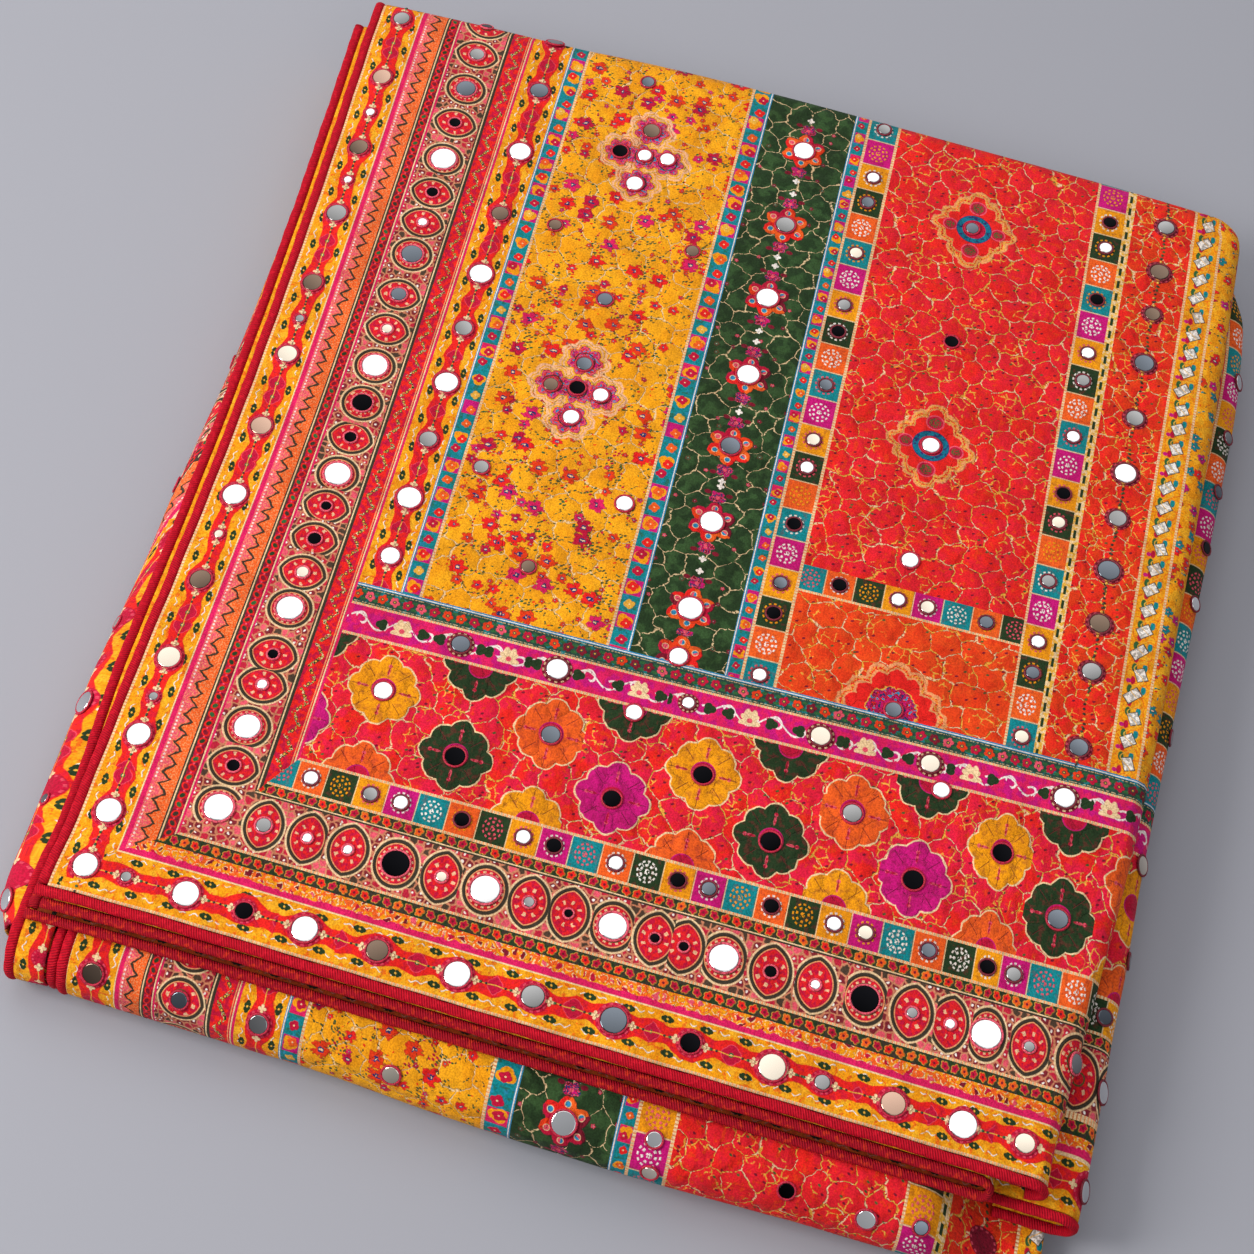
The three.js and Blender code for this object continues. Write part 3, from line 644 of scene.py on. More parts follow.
def vineStrip(c):
    along, y = c.along, c.b - 5.5
    c.colour = paint("red", "crimson", patchy(along, y, 3, 0.46, 0.56))
    c.lay("bark", inside(y + 4.6))
    bend = abs(along.wrap(12.0)) - 3.0
    stem = y - bend * 0.8
    leaf = stroke(stem, 1.1) * (cloudy(along, y, 1.5, 0) > 0.47)
    c.lay(blend(cloudy(along + 9, y, 1.8), ("green", "gold", "leaf", "cream", "green"), 0.3, 0.7), leaf)
    c.lay("bark", dot((along + 3.0).wrap(6.0), y, 0.9))
    c.lay("gold", dot((along + 3.0).wrap(6.0), y, 0.5))
    c.lay("peach", stroke(y - 4.6, 0.25))
    return leaf * 0.3


def chainStrip(c):
    along, y = c.along, c.b - c.wide / 2
    c.colour = paint("bark", "green", patchy(along, y, 3, 0.46, 0.56))
    k, x = along.index(5.0), along.wrap(5.0)
    bloom = petals(x, y - along.wave(10) * 0.5, 5, 2.1, 0.28)
    c.lay(blend(chance(k), ("crimson", "red", "crimson", "orange", "red")), inside(bloom))
    c.lay("gold", stroke(bloom, 0.22) * 0.6)
    c.lay("wine", dot(x, y, 0.6))
    return inside(bloom) * 0.3


def crossFlowers(c):
    along, b = c.along, c.b
    c.colour = paint("marigold", "orange", patchy(along, b, 3, 0.42, 0.56))
    p, q = wobbled(c.p, c.q, 2.4, 0.9)
    edge, own = netting(p, q, 3.8, 0.9)
    c.lay(blend(own, ("crimson", "orange", "marigold", "rose", "wine")), inside(0.9 - edge))
    c.lay("cream", stroke(edge - 0.75, 0.22) * (cloudy(along, b, 2) > 0.5))
    c.lay("pink", inside(b - 1.6 + (cloudy(along, b, 4) - 0.5) * 3))
    return inside(0.9 - edge) * 0.2


def garland(c):
    along, y = c.along, c.b - c.wide / 2
    c.colour = paint("pine", "teal", patchy(along, y, 4, 0.58, 0.65) * 0.7)
    k, x = along.index(6.4), along.wrap(6.4)
    bloom = petals(x, y - along.wave(12.8) * 0.5, 5, 2.7, 0.3)
    c.lay(blend(chance(k), ("crimson", "ember", "wine", "rose")), inside(bloom))
    c.lay("pine", dot(x, y, 0.9))
    c.lay("gold", dot(x, y, 0.4))
    c.lay("leaf", inside(oval((along + 3.2).wrap(6.4), abs(y) - 1.8, 1.4, 0.8)))
    rim = stroke(abs(y) - c.wide * 0.42, 0.25) * (cloudy(along, y, 1) > 0.48)
    c.lay("cream", rim * 0.6)
    return inside(bloom) * 0.25


def flowerField(c):
    p, b, x, kind = c.p, c.b, c.m, c.size
    relief = redGround(c, "red", dye("e2183e"), 14)
    odd = abs(kind.math("MODULO", 2.0)) > 0.5
    main = pick((kind + 0.5) / 4, ("marigold", "green", "orange", "magenta"))
    spare = pick((kind + 0.5) / 4, ("orange", "green", "marigold", "green"))
    for row, tint in ((42.5 - odd * 22.0, main), (odd * 67.0 - 1.5, spare)):
        y = b - row
        angle, reach = bearing(x, y), far(x, y)
        waves = abs((angle * 2).cosine()) * 1.3 + abs((angle * 4).cosine()) * 2.5
        bloom = reach - 13.6 - waves + (cloudy(p, b, 5) - 0.5) * 1.5
        c.lay(tint, inside(bloom))
        c.lay("wine", inside(bloom) * patchy(p, b, 3, 0.5, 0.7) * 0.35)
        c.lay("cream", stroke(bloom, 0.36))
        veins = stroke(abs((angle * 4).sine()) * reach * 0.25, 0.14)
        veins = veins * inside(bloom + 1.5) * (reach > 8.0)
        c.lay("wine", veins * 0.7)
        turn = (angle * (2 / pi) + 0.5).math("FRACT") - 0.5
        aside = turn * reach * 1.5
        marks = inside(oval(aside, reach - 9.2, 0.6, 2.1)).most(dot(aside, reach - 12.0, 0.9))
        c.lay(paint("crimson", "rose", cloudy(p, b, 1.4, 0) > 0.5), marks * 0.9)
        c.lay("crimson", inside(reach - 5.7))
        c.lay("magenta", stroke(reach - 5.4, 0.3) * 0.8)
        relief = relief + inside(bloom, 2.0) * 0.6 - veins * 0.4
    return relief


def magentaBand(c):
    m, b, along = c.m, c.b - 7.5, c.along
    c.colour = paint("magenta", "pink", patchy(along, b, 5, 0.42, 0.55))
    curl = stroke(b - along.wave(22) * 3.4, 0.55) * (cloudy(along, b, 2) > 0.36)
    x = (along + 4).wrap(11)
    hooks = stroke(far(x, b - along.wave(22) * 1.5) - 2.7, 0.5) * (x + b > -1.0)
    c.lay("white", curl.most(hooks) * 0.9)
    c.lay("green", inside(petals(abs(m) - 10.0, b, 3, 3.2, 0.3)))
    bare = c.size < 2
    lotus = petals(m, b + 1.4, 7, 5.2, 0.4, 0.5)
    c.lay("cream", inside(lotus) * bare * inside(-3.5 - b))
    c.lay("cream", inside(oval(abs(m) - 1.6, b - 1.5, 1.6, 3.4)) * bare)
    c.lay("rose", dot(m, b + 1.0, 1.3) * bare)
    plain = c.colour
    lift = ringed(c, m, b, "wine", "cream")
    c.lay(plain, bare)
    return lift * (1 - bare) + curl * 0.2


def dashStripe(c):
    along, b = c.along, c.b
    c.colour = paint("cream", "gold", patchy(along, b, 2, 0.45, 0.55))
    dash = stroke(b - 1.9, 0.75) * (along.wave(8.5) > -0.25)
    c.lay("green", dash)
    return dash * -0.1


def creamLine(c):
    c.colour = paint("cream", "peach", c.along.wave(1.7) > 0.3)
    return abs(c.along.wave(3.4)) * 0.3


def pinkLine(c):
    line = inside(c.b - 0.7)
    c.colour = paint("pink", "cream", line)
    return line * 0.2


def darkLine(c):
    line = inside(abs(c.b - 1.1) - 0.35)
    c.colour = paint("bark", "cream", line)
    return line * 0.2


def blueLine(c):
    line = inside(abs(c.b - 0.65) - 0.25)
    c.colour = paint("blue", "white", line)
    return line * 0.2


# the border seen from the back, down between two layers; its print is darkened as painted shade from the
# layers around it, and as the duller back of the print
def shadedBorderBack(c):
    relief = wavyBorder(c)
    # painted shade: the whole back of the border is multiplied by a dark brown
    c.colour = shade(c.colour, dye("8c5048"), smooth(c.b, -60, -50))
    return relief


prints = {f.__name__: f for f in (
    shadedBorderBack, wavyBorder, circleBand, squaresBand, patchBand, marigoldField, greenPanel,
    redField, emberField, mirrorColumn, shardBand, foldStrip, zigzagBand, berryStrip, vineStrip,
    chainStrip, crossFlowers, garland, flowerField, magentaBand, dashStripe, creamLine, pinkLine,
    darkLine, blueLine)}
clothFinish = {"roughness": 0.85, "sheen": 0.03, "specular": 0.14, "grain": 0.22, "relief": 0.9}


# a new material: itself, its shader, and a wire that its sums start from
def newMaterial(name, **values):
    material = bpy.data.materials.new(name)
    material.use_nodes = True
    shader = material.node_tree.nodes["Principled BSDF"]
    for socket, value in values.items():
        shader.inputs[socket.replace("_", " ")].default_value = value
    return material, shader, Wire(shader.outputs[0])


# height is in millimetres
def dress(shader, colour, height=None, strength=1.0):
    links = colour.socket.id_data.links
    links.new(colour.socket, shader.inputs["Base Color"])
    if height:
        values = {"Height": height * mm, "Distance": 1.0, "Strength": strength}
        links.new(height.make("ShaderNodeBump", {}, values).socket, shader.inputs["Normal"])


def mapOf(start, name):
    uv = start.make("ShaderNodeUVMap", {"uv_map": name}, {})
    first = start.make("ShaderNodeSeparateXYZ", {}, {0: uv})
    return first, Wire(first.socket.node.outputs[1])


# one material for each print and width, reading the piece's own maps
def printedCloth(kind, wide):
    key = f"{kind}{wide:.0f}"
    if key in bpy.data.materials:
        return bpy.data.materials[key]
    material, shader, start = newMaterial(
        key, Roughness=clothFinish["roughness"], Sheen_Weight=clothFinish["sheen"],
        Specular_IOR_Level=clothFinish["specular"])
    band, across = mapOf(start, "band")
    p, q = mapOf(start, "cloth")
    run = start.make("ShaderNodeAttribute", {"attribute_name": "run"}, {}, 2)
    size = start.make("ShaderNodeAttribute", {"attribute_name": "size"}, {}, 2)
    c = Cloth(p, q, band, across, p * run + q * (1 - run), size, wide)
    relief = prints[kind](c)
    grain = cloudy(p, q, 0.9, 3)
    wear = cloudy(p, q, 22, 2)
    colour = shade(c.colour, dye("a8988c"), smooth(grain, 0.62, 0.35) * clothFinish["grain"] * 2)
    colour = shade(colour, dye("c8b4a8"), smooth(wear, 0.35, 0.65) * 0.35)
    weave = p.wave(0.62) * q.wave(0.62)
    pucker = cloudy(p + 11, q, 6.5, 1)
    dress(shader, colour, relief + weave * 0.04 + grain * 0.3 + pucker * 1.5, clothFinish["relief"])
    return material


# mirrors of each row: where along the row, how wide, and the tone of the reflection painted on its glass
mirrorRows = {
    "wavyLeft": [
        (12, 11.5, "white"), (39, 12, "white"), (78, 11.5, "white"), (98, 4.5, "grey"),
        (119, 11, "cream"), (162, 10.5, "brown"), (188, 4.5, "cream"), (211, 12, "white"),
        (252, 10.5, "peach"), (296, 10, "cream"), (318, 4.5, "grey"), (341, 10, "brown"),
        (386, 10.5, "grey"), (408, 4.5, "white"), (430, 10, "brown"), (454, 5, "white"),
        (479, 10, "peach"), (522, 9, "grey")],
    "wavyFront": [
        (31, 5, "grey"), (59, 12, "white"), (86, 8, "black"), (114, 12, "white"), (147, 10, "brown"),
        (183, 12, "white"), (217, 10.5, "grey"), (253, 12, "steel"), (287, 9, "black"),
        (323, 12, "cream"), (345, 7, "grey"), (376, 11, "peach"), (409, 12.5, "white"),
        (439, 9, "cream"), (470, 9, "grey")],
    "wavyInner": [
        (198, 9.5, "white"), (232, 12, "white"), (267, 9, "grey"), (302, 12, "white"), (336, 9, "grey"),
        (371, 12, "white"), (411, 9, "brown"), (454, 11.5, "white"), (497, 10, "steel"),
        (534, 9, "grey")],
    "circleLeft": [
        (54, 13.5, "white"), (75, 6, "black"), (95, 12.5, "white"), (117, 5, "white"),
        (133, 5, "black"), (158, 13, "white"), (178, 6, "cream"), (197, 6.5, "black"),
        (216, 5, "black"), (235, 13, "white"), (257, 6, "black"), (278, 10, "black"),
        (301, 13, "white"), (324, 5.5, "cream"), (346, 8, "steel"), (372, 11, "steel"),
        (393, 5, "white"), (413, 6, "black"), (436, 13.5, "white"), (461, 6, "black"),
        (485, 10.5, "steel"), (510, 8, "grey"), (532, 6, "black")],
    "circleFront": [
        (82, 7, "grey"), (103, 4.5, "white"), (122, 4.5, "white"), (144, 12.5, "black"),
        (165, 5, "cream"), (185, 13.5, "white"), (205, 5, "grey"), (223, 4, "black"),
        (243, 13, "white"), (262, 4.5, "black"), (275, 4.5, "black"), (293, 13.5, "white"),
        (314, 5.5, "black"), (334, 4.5, "white"), (356, 12.5, "black"), (377, 5, "grey"),
        (394, 4.5, "white"), (413, 13.5, "white"), (434, 5, "grey"), (456, 9, "grey")],
    "green": [
        (184, 9, "white"), (211, 12, "white"), (261, 11.5, "white"), (307, 10, "steel"),
        (352, 11.5, "white"), (402, 11.5, "white"), (451, 10, "grey"), (503, 11, "white")],
    "column": [
        (189, 9, "steel"), (232, 9.5, "grey"), (260, 10, "brown"), (292, 11, "steel"), (324, 9, "grey"),
        (352, 11, "white"), (387, 9, "grey"), (423, 10, "steel"), (456, 8, "brown"), (485, 10, "brown"),
        (516, 9, "grey")],
    "magenta": [
        (116, 0, "grey"), (144, 9, "steel"), (167, 0, "grey"), (190, 10.5, "white"), (229, 0, "grey"),
        (252, 6, "white"), (281, 0, "grey"), (314, 9.5, "cream"), (335, 0, "grey"), (365, 9, "cream"),
        (384, 0, "grey"), (431, 10, "white"), (452, 0, "grey")],
    "flowers": [
        (79, 3, "grey"), (116, 0, "grey"), (156, 1, "grey"), (195, 2, "grey"), (229, 3, "grey"),
        (266, 0, "grey"), (302, 1, "grey"), (335, 2, "grey"), (367, 3, "grey"), (405, 0, "grey"),
        (437, 1, "grey"), (472, 2, "grey")],
    "yellow": [
        (317, 9, "grey"), (472, 9, "white")],
    "red": [
        (338, 10, "white"), (481, 8, "steel")],
}

# single mirrors: along p and q, how wide, and how dark the reflection painted on the glass is
mirrorSpots = [
    (163, 490, 9, "brown"), (150, 472, 8, "black"), (163, 473, 7.5, "white"), (175, 474, 8, "white"),
    (162, 453, 9, "white"), (163, 333, 8, "steel"), (150, 316, 7.5, "brown"), (163, 318, 8, "black"),
    (175, 317, 8, "white"), (164, 300, 8.5, "white"), (154, 522, 7, "steel"), (164, 375, 8, "steel"),
    (164, 211, 7, "brown"), (129, 259, 7.5, "grey"), (200, 259, 8.5, "white"), (129, 413, 7, "brown"),
    (200, 419, 7, "brown"), (337, 405, 7, "black"), (338, 268, 8.5, "white"), (344, 184, 8, "steel"),
    (336, 481, 7, "steel"), (337, 338, 9, "white"), (156, 107, 9.5, "black"), (229, 107, 8.5, "black"),
    (302, 107, 9.5, "black"), (367, 107, 9.5, "black"), (437, 107, 9.5, "steel"),
    (116, 129, 9, "white"), (195, 129, 9, "steel"), (266, 129, 9, "black"), (335, 129, 9, "grey"),
    (405, 129, 9, "black"), (229, 150, 8, "white"), (372, 150, 8, "white")]

# the colour painted on the glass for each tone: a painted reflection, from bright white to near black
paintedReflections = {
    "white": (0.78, 0.78, 0.78), "cream": (0.7, 0.62, 0.51), "peach": (0.48, 0.31, 0.23),
    "brown": (0.16, 0.11, 0.08), "grey": (0.26, 0.26, 0.26), "steel": (0.125, 0.143, 0.168),
    "black": (0.004, 0.004, 0.005)}

# long stripes across p, then the cross stripes across q: where each ends, its print and its row
longStripes = [
    (0.2, "creamLine"), (22, "wavyBorder", "wavyLeft"), (24, "pinkLine"), (37, "zigzagBand"),
    (38.6, "darkLine"), (44.2, "berryStrip"), (46, "pinkLine"), (73, "circleBand", "circleLeft"),
    (75, "darkLine"), (86, "vineStrip"), (88, "pinkLine"), (110, "wavyBorder", "wavyInner"),
    (111.3, "blueLine"), (119, "patchBand"), (120.3, "creamLine"), (208.7, "marigoldField", "yellow"),
    (210, "creamLine"), (218.6, "patchBand"), (220, "blueLine"), (265, "greenPanel", "green"),
    (266.4, "blueLine"), (272.2, "patchBand"), (273.6, "creamLine"), (288, "squaresBand", 185, 17.35),
    (289.5, "creamLine"), (396, "redField", "red"), (397.3, "creamLine"),
    (412, "squaresBand", 187, 17.9), (416.5, "dashStripe"), (447.5, "mirrorColumn", "column"),
    (448.8, "creamLine"), (461.5, "shardBand"), (462.8, "creamLine"), (486, "foldStrip"),
    (620, "redField", "red")]
crossStripes = [
    (0.2, "creamLine"), (22, "wavyBorder", "wavyFront"), (24, "pinkLine"), (31, "crossFlowers"),
    (37, "chainStrip"), (38.2, "creamLine"), (65, "circleBand", "circleFront"), (66.3, "darkLine"),
    (71, "chainStrip"), (72.2, "creamLine"), (86, "squaresBand", 82, 14.15), (87.3, "creamLine"),
    (152.6, "flowerField", "flowers"), (154, "creamLine"), (168.8, "magentaBand", "magenta"),
    (170, "creamLine"), (179, "garland"), (180.6, "blueLine")]
barStripes = [(237, "creamLine"), (251, "squaresBand", 294, 14.1), (252.2, "creamLine")]
mitre = [(-40, -40), (22, 22), (45, 37), (73, 65.6), (88, 87)]
# where the cross stripes end, and the two edges of the short bar
crossEnd, barLow, barHigh = 180.6, 235.7, 252.2


# a straight line between the rows of a table, from column a to column b
def straight(rows, at, a=0, b=1):
    for low, high in zip(rows, rows[1:]):
        if at <= high[a]:
            return low[b] + (high[b] - low[b]) * (at - low[a]) / (high[a] - low[a])
    return rows[-1][b]


# the stripe at a place: its print, its start, its width, its row, and 1 where it runs along p
def stripeAt(p, q):
    table, at, run, low = longStripes, p, 0, -1.0
    if q < crossEnd and (p > mitre[-1][0] or q < straight(mitre, p)):
        table, at, run = crossStripes, q, 1
    elif 289.5 < p < 396 and barLow < q < barHigh:
        table, at, run, low = barStripes, q, 1, barLow
    for one in table:
        if at <= one[0]:
            ember = one[1] == "redField" and q < 236 and p < 396
            return "emberField" if ember else one[1], low, one[0] - low, one[2:], run
        low = one[0]
    return table[-1][1], low, 60, table[-1][2:], run


print("tables ready")

# how the cloth is folded: its rolls, its levels and the lines where it turns
stack = {"origin": (229.27, 235.71), "height": 50.0, "topRoll": 8.0, "topCorner": 9.0,
         "innerRoll": 4.4, "outerRoll": 9.6, "frontRoll": 17.8, "farRoll": 16.6, "turnEnd": 520.0,
         "base": 505.0, "back": 44.6, "frontTurn": -17, "leftEdge": -8.5, "drapeLevel": 12}
levels = {"top": 50.0, "inner": 46.2, "outer": 32.8, "front": 35.6, "left": 46.2}
topSide = [(-4, 446), (20, 447.5), (158, 463), (300, 469.5), (416, 473), (540, 474)]
farSide = [
    (-6, 526.5), (40, 527), (75, 528), (110, 529.5), (160, 532), (220, 533), (290, 533), (370, 532),
    (446, 530), (480, 529.5)]
outerSide = [
    (-11, 463), (2, 464), (65, 467), (128, 470), (195, 474), (278, 478), (364, 482), (440, 486),
    (485, 484), (503, 478)]
drapeSide = [
    (-15, -21), (0, -27.5), (30, -30), (80, -29.5), (150, -28), (215, -26.5), (253, -24), (292, -21.5),
    (370, -20.5), (450, -18.5), (515, -17)]
frontTurn = [
    (6, -17, 17.8), (120, -18, 17.8), (180, -21, 17.8), (260, -22.5, 17.8), (330, -21, 17.8),
    (394, -21, 17.8), (404, -21.5, 16.2), (418, -25, 9.6), (428, -27, 6.1), (452, -28, 6.0)]
leanRows = [
    (-60, -0.065, 0), (0, -0.0645, 0.5), (30, -0.063, 3), (60, -0.057, 4), (115, -0.042, 5.5),
    (160, -0.033, 7.2), (240, -0.039, 9.6), (320, -0.049, 9.8), (420, -0.060, 8.8), (520, -0.069, 6.2),
    (600, -0.072, 5)]


def clamp(x, low, high):
    return min(high, max(low, x))


def ease(x):
    return x * x * (3 - 2 * x)


# smooth value of one column of a table, between its rows
def along(rows, at, column=1):
    n = len(rows)
    i = 0
    while i < n - 2 and at > rows[i + 1][0]:
        i += 1

    def slope(k):
        a, b = rows[max(0, k - 1)], rows[min(n - 1, k + 1)]
        return (b[column] - a[column]) / (b[0] - a[0])

    low, high = rows[i], rows[i + 1]
    span = high[0] - low[0]
    t = clamp((at - low[0]) / span, 0, 1)
    out = (t ** 3 - 2 * t * t + t) * span * slope(i)
    back = (t ** 3 - t * t) * span * slope(i + 1)
    return low[column] + (high[column] - low[column]) * ease(t) + out + back


def turned(s, level, roll, off):
    half = pi * roll
    if s <= 0:
        return s, level + off
    if s < half:
        a = s / roll
        return (roll + off) * math.sin(a), level - roll + (roll + off) * math.cos(a)
    return half - s, level - 2 * roll - off


def settle(point):
    x, y, z = point
    left = 1 - clamp((x + 8) / 75, 0, 1)
    front = 1 - clamp((y + 8) / 90, 0, 1)
    right = clamp((x - 400) / 80, 0, 1)
    back = clamp((y - 460) / 80, 0, 1)
    waves = 0.5 * math.sin(x / 41 + y / 97) * math.sin(y / 58 - x / 160)
    slump = 4 * left ** 2 + 2.4 * front ** 2 + 1.6 * right ** 2 + 1.2 * back ** 2 + waves
    bulge = along(leanRows, y, 2) * (1 - clamp(x / 110, 0, 1))
    return Vector((x + bulge - stack["origin"][0], y + along(leanRows, y) * x - stack["origin"][1],
                   z * (1 - slump / stack["height"]))) * mm


# soft troughs and ridges, laid one by one: from one place to another, how wide and how high
def creased(lines, p, q):
    total = 0
    for (a, b), (c, d), wide, high in lines:
        t = clamp(((p - a) * (c - a) + (q - b) * (d - b)) / ((c - a) ** 2 + (d - b) ** 2), 0, 1)
        gone = math.hypot(p - a - t * (c - a), q - b - t * (d - b)) / wide
        total += high * math.exp(-gone * gone) * (0.6 + 0.4 * math.sin(pi * t))
    return total


def slant(p, q):
    return 6.0 * ease(clamp((p - 390) / 40, 0, 1)) * (1 - clamp(q / 480, 0, 1))


topStretch = {"creases": [
    ((10, 30), (34, 250), 13, 0.7), ((2, 150), (20, 330), 9, -0.6), ((30, 300), (12, 520), 12, 0.7),
    ((60, 60), (240, 96), 16, 0.6), ((150, 8), (330, 22), 11, 0.7), ((250, 60), (430, 40), 14, -0.7),
    ((120, 200), (200, 330), 18, 0.6), ((190, 380), (130, 500), 16, -0.6),
    ((235, 230), (250, 470), 15, 0.6), ((300, 280), (380, 420), 22, 0.7),
    ((330, 460), (420, 330), 16, -0.6), ((440, 120), (452, 420), 10, 0.6),
    ((60, 440), (260, 512), 18, -0.5), ((280, 130), (420, 150), 13, 0.5), ((0, 4), (446, 4), 5, 0.35)],
    "edgeWave": 0.35}


def topTurn(v):
    return along(topSide, min(v, stack["turnEnd"])) - stack["topRoll"]


def farTurn(u):
    return along(farSide, clamp(u, -6, 480))


def topPlace(p, q, off=0.0):
    near = min(abs(p + 1), abs(q + 1))
    ripple = topStretch["edgeWave"] * math.sin((p + q) / 6.5) * math.exp(-near / 7)
    off += creased(topStretch["creases"], p, q) + ripple
    u, v = p - slant(p, q), q
    corner, roll = stack["topCorner"], stack["topRoll"]
    x0, y0 = topTurn(v) - corner, farTurn(u) - corner
    du, dv = u - x0, v - y0
    if du <= 0 and dv <= 0:
        return u, v, levels["top"] + off
    if dv <= 0:
        a, z = turned(du - corner, levels["top"], roll, off)
        return x0 + corner + a, v, z
    if du <= 0:
        a, z = turned(dv - corner, levels["top"], roll, off)
        return u, y0 + corner + a, z
    most, least = max(du, dv), min(du, dv)
    lean = pi / 4 * least / most
    angle = lean if du >= dv else pi / 2 - lean
    a, z = turned(most - corner, levels["top"], roll, off)
    return x0 + (corner + a) * math.cos(angle), y0 + (corner + a) * math.sin(angle), z


def innerTurn(v):
    return along(topSide, v) - 22 - stack["innerRoll"]


def innerFront(s):
    return -5 - 4.4 * ease(clamp(s / (pi * stack["innerRoll"]), 0, 1))


# the inner fold: s runs from its left edge to the fold and back
def innerPlace(s, v, off=0.0):
    a, z = turned(s, levels["inner"], stack["innerRoll"], off + 0.25 * math.sin(s / 31 + v / 9))
    return innerTurn(v) + a, v, z


outerStretch = {"creases": [
    ((-30, 60), (20, 110), 12, 0.8), ((10, 140), (22, 260), 9, -0.8), ((8, 300), (24, 420), 10, 0.8),
    ((0, 430), (26, 490), 12, -0.7), ((14, -6), (8, 60), 9, 0.7)]}


def outerPlace(s, v, off=0.0):
    off += creased(outerStretch["creases"], s, v)
    a, z = turned(s, levels["outer"], stack["outerRoll"], off)
    return along(outerSide, v) - stack["outerRoll"] + a, v, z


frontStretch = {"creases": [
    ((40, 8), (130, 26), 9, 0.9), ((120, 30), (230, 16), 10, -0.9), ((210, 12), (330, 34), 11, 0.9),
    ((330, 10), (400, 30), 9, -0.8), ((20, 34), (200, 48), 8, 0.6), ((240, 42), (390, 46), 9, -0.6)]}


def frontPlace(x, s, off=0.0):
    turn, roll = along(frontTurn, x), along(frontTurn, x, 2)
    under = pi * roll
    if s < under:
        off += creased(frontStretch["creases"], x, s) * clamp((under - s) / 12, 0, 1)
    if s <= under:
        a, z = turned(s, 2 * roll, roll, off)
        return x, turn - a, z
    flat = stack["base"] - turn
    if s <= under + flat:
        return x, turn + s - under, -off
    up = (s - under - flat) / stack["farRoll"]
    reach = stack["farRoll"] + off
    return x, stack["base"] + reach * math.sin(up), stack["farRoll"] - reach * math.cos(up)


def leftRise(y):
    return levels["front"] + (levels["left"] - levels["front"]) * ease(clamp((y - 50) / 70, 0, 1))


def leftPlace(x, s, off=0.0):
    off += 0.35 * math.sin(s / 11 + x / 5)
    turn = stack["frontTurn"]
    if s <= 0:
        return x, turn - s, leftRise(turn - s) + off
    a, z = turned(s, levels["front"], stack["frontRoll"], off)
    return x, turn - a, z


drapeStretch = {"creases": [
    ((0.2, 30), (0.8, 110), 16, 0.8), ((0.1, 150), (0.9, 190), 14, -0.9),
    ((0.3, 220), (0.8, 300), 17, 0.9), ((0.2, 350), (0.9, 420), 18, -0.7)]}


# turn runs round the left side: 0 to 1 over the top, 1 to 2 down to the surface, then inwards
def drapePlace(turn, v, off=0.0):
    side, top, level = along(drapeSide, v), leftRise(v) - 3.1, stack["drapeLevel"]
    creases = [((a * 30, b), (c * 30, d), w, h) for (a, b), (c, d), w, h in drapeStretch["creases"]]
    off += creased(creases, turn * 30, v) * clamp(1.6 - turn, 0, 1)
    if turn <= 1:
        a = turn * pi / 2
        return -6 - (-6 - side + off) * math.sin(a), v, level + (top - level + off) * math.cos(a)
    if turn <= 2:
        a = (turn - 1) * pi / 2
        return side + 9 - (9 + off) * math.cos(a), v, level - (level + off) * math.sin(a)
    return side + 9 + (turn - 2) * 5, v, -off


# how thick the cloth is, and how far apart the lines of each stretch's grid lie
clothWall = 1.1
gridPitch = {"top": (4.6, 4.8), "inner": (9, 0.12), "outer": (3.2, 4.8), "front": (4.6, 3.6, 11),
             "left": (2.2, 4.5), "drape": (0.07, 4.2), "binding": 3.2}


def finishPiece(made, slot, *nodes):
    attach(made, "root")
    if nodes:
        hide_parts(*nodes)
    return made


def newPiece(name, form, materials):
    mesh = bpy.data.meshes.new(name)
    form.to_mesh(mesh)
    form.free()
    for material in materials:
        mesh.materials.append(material)
    made = bpy.data.objects.new(name, mesh)
    bpy.context.collection.objects.link(made)
    return made


# grid lines at every stripe's edge, with more between them
def gridLines(marks, low, high, most):
    marks = sorted({round(m, 3) for m in marks if low < m < high} | {low, high})
    lines = []
    for a, b in zip(marks, marks[1:]):
        n = max(1, math.ceil((b - a) / most))
        lines += [a + (b - a) * i / n for i in range(n)]
    return lines + [high]


def nearest(row, at):
    return min(range(len(row)), key=lambda i: abs(row[i][0] - at))


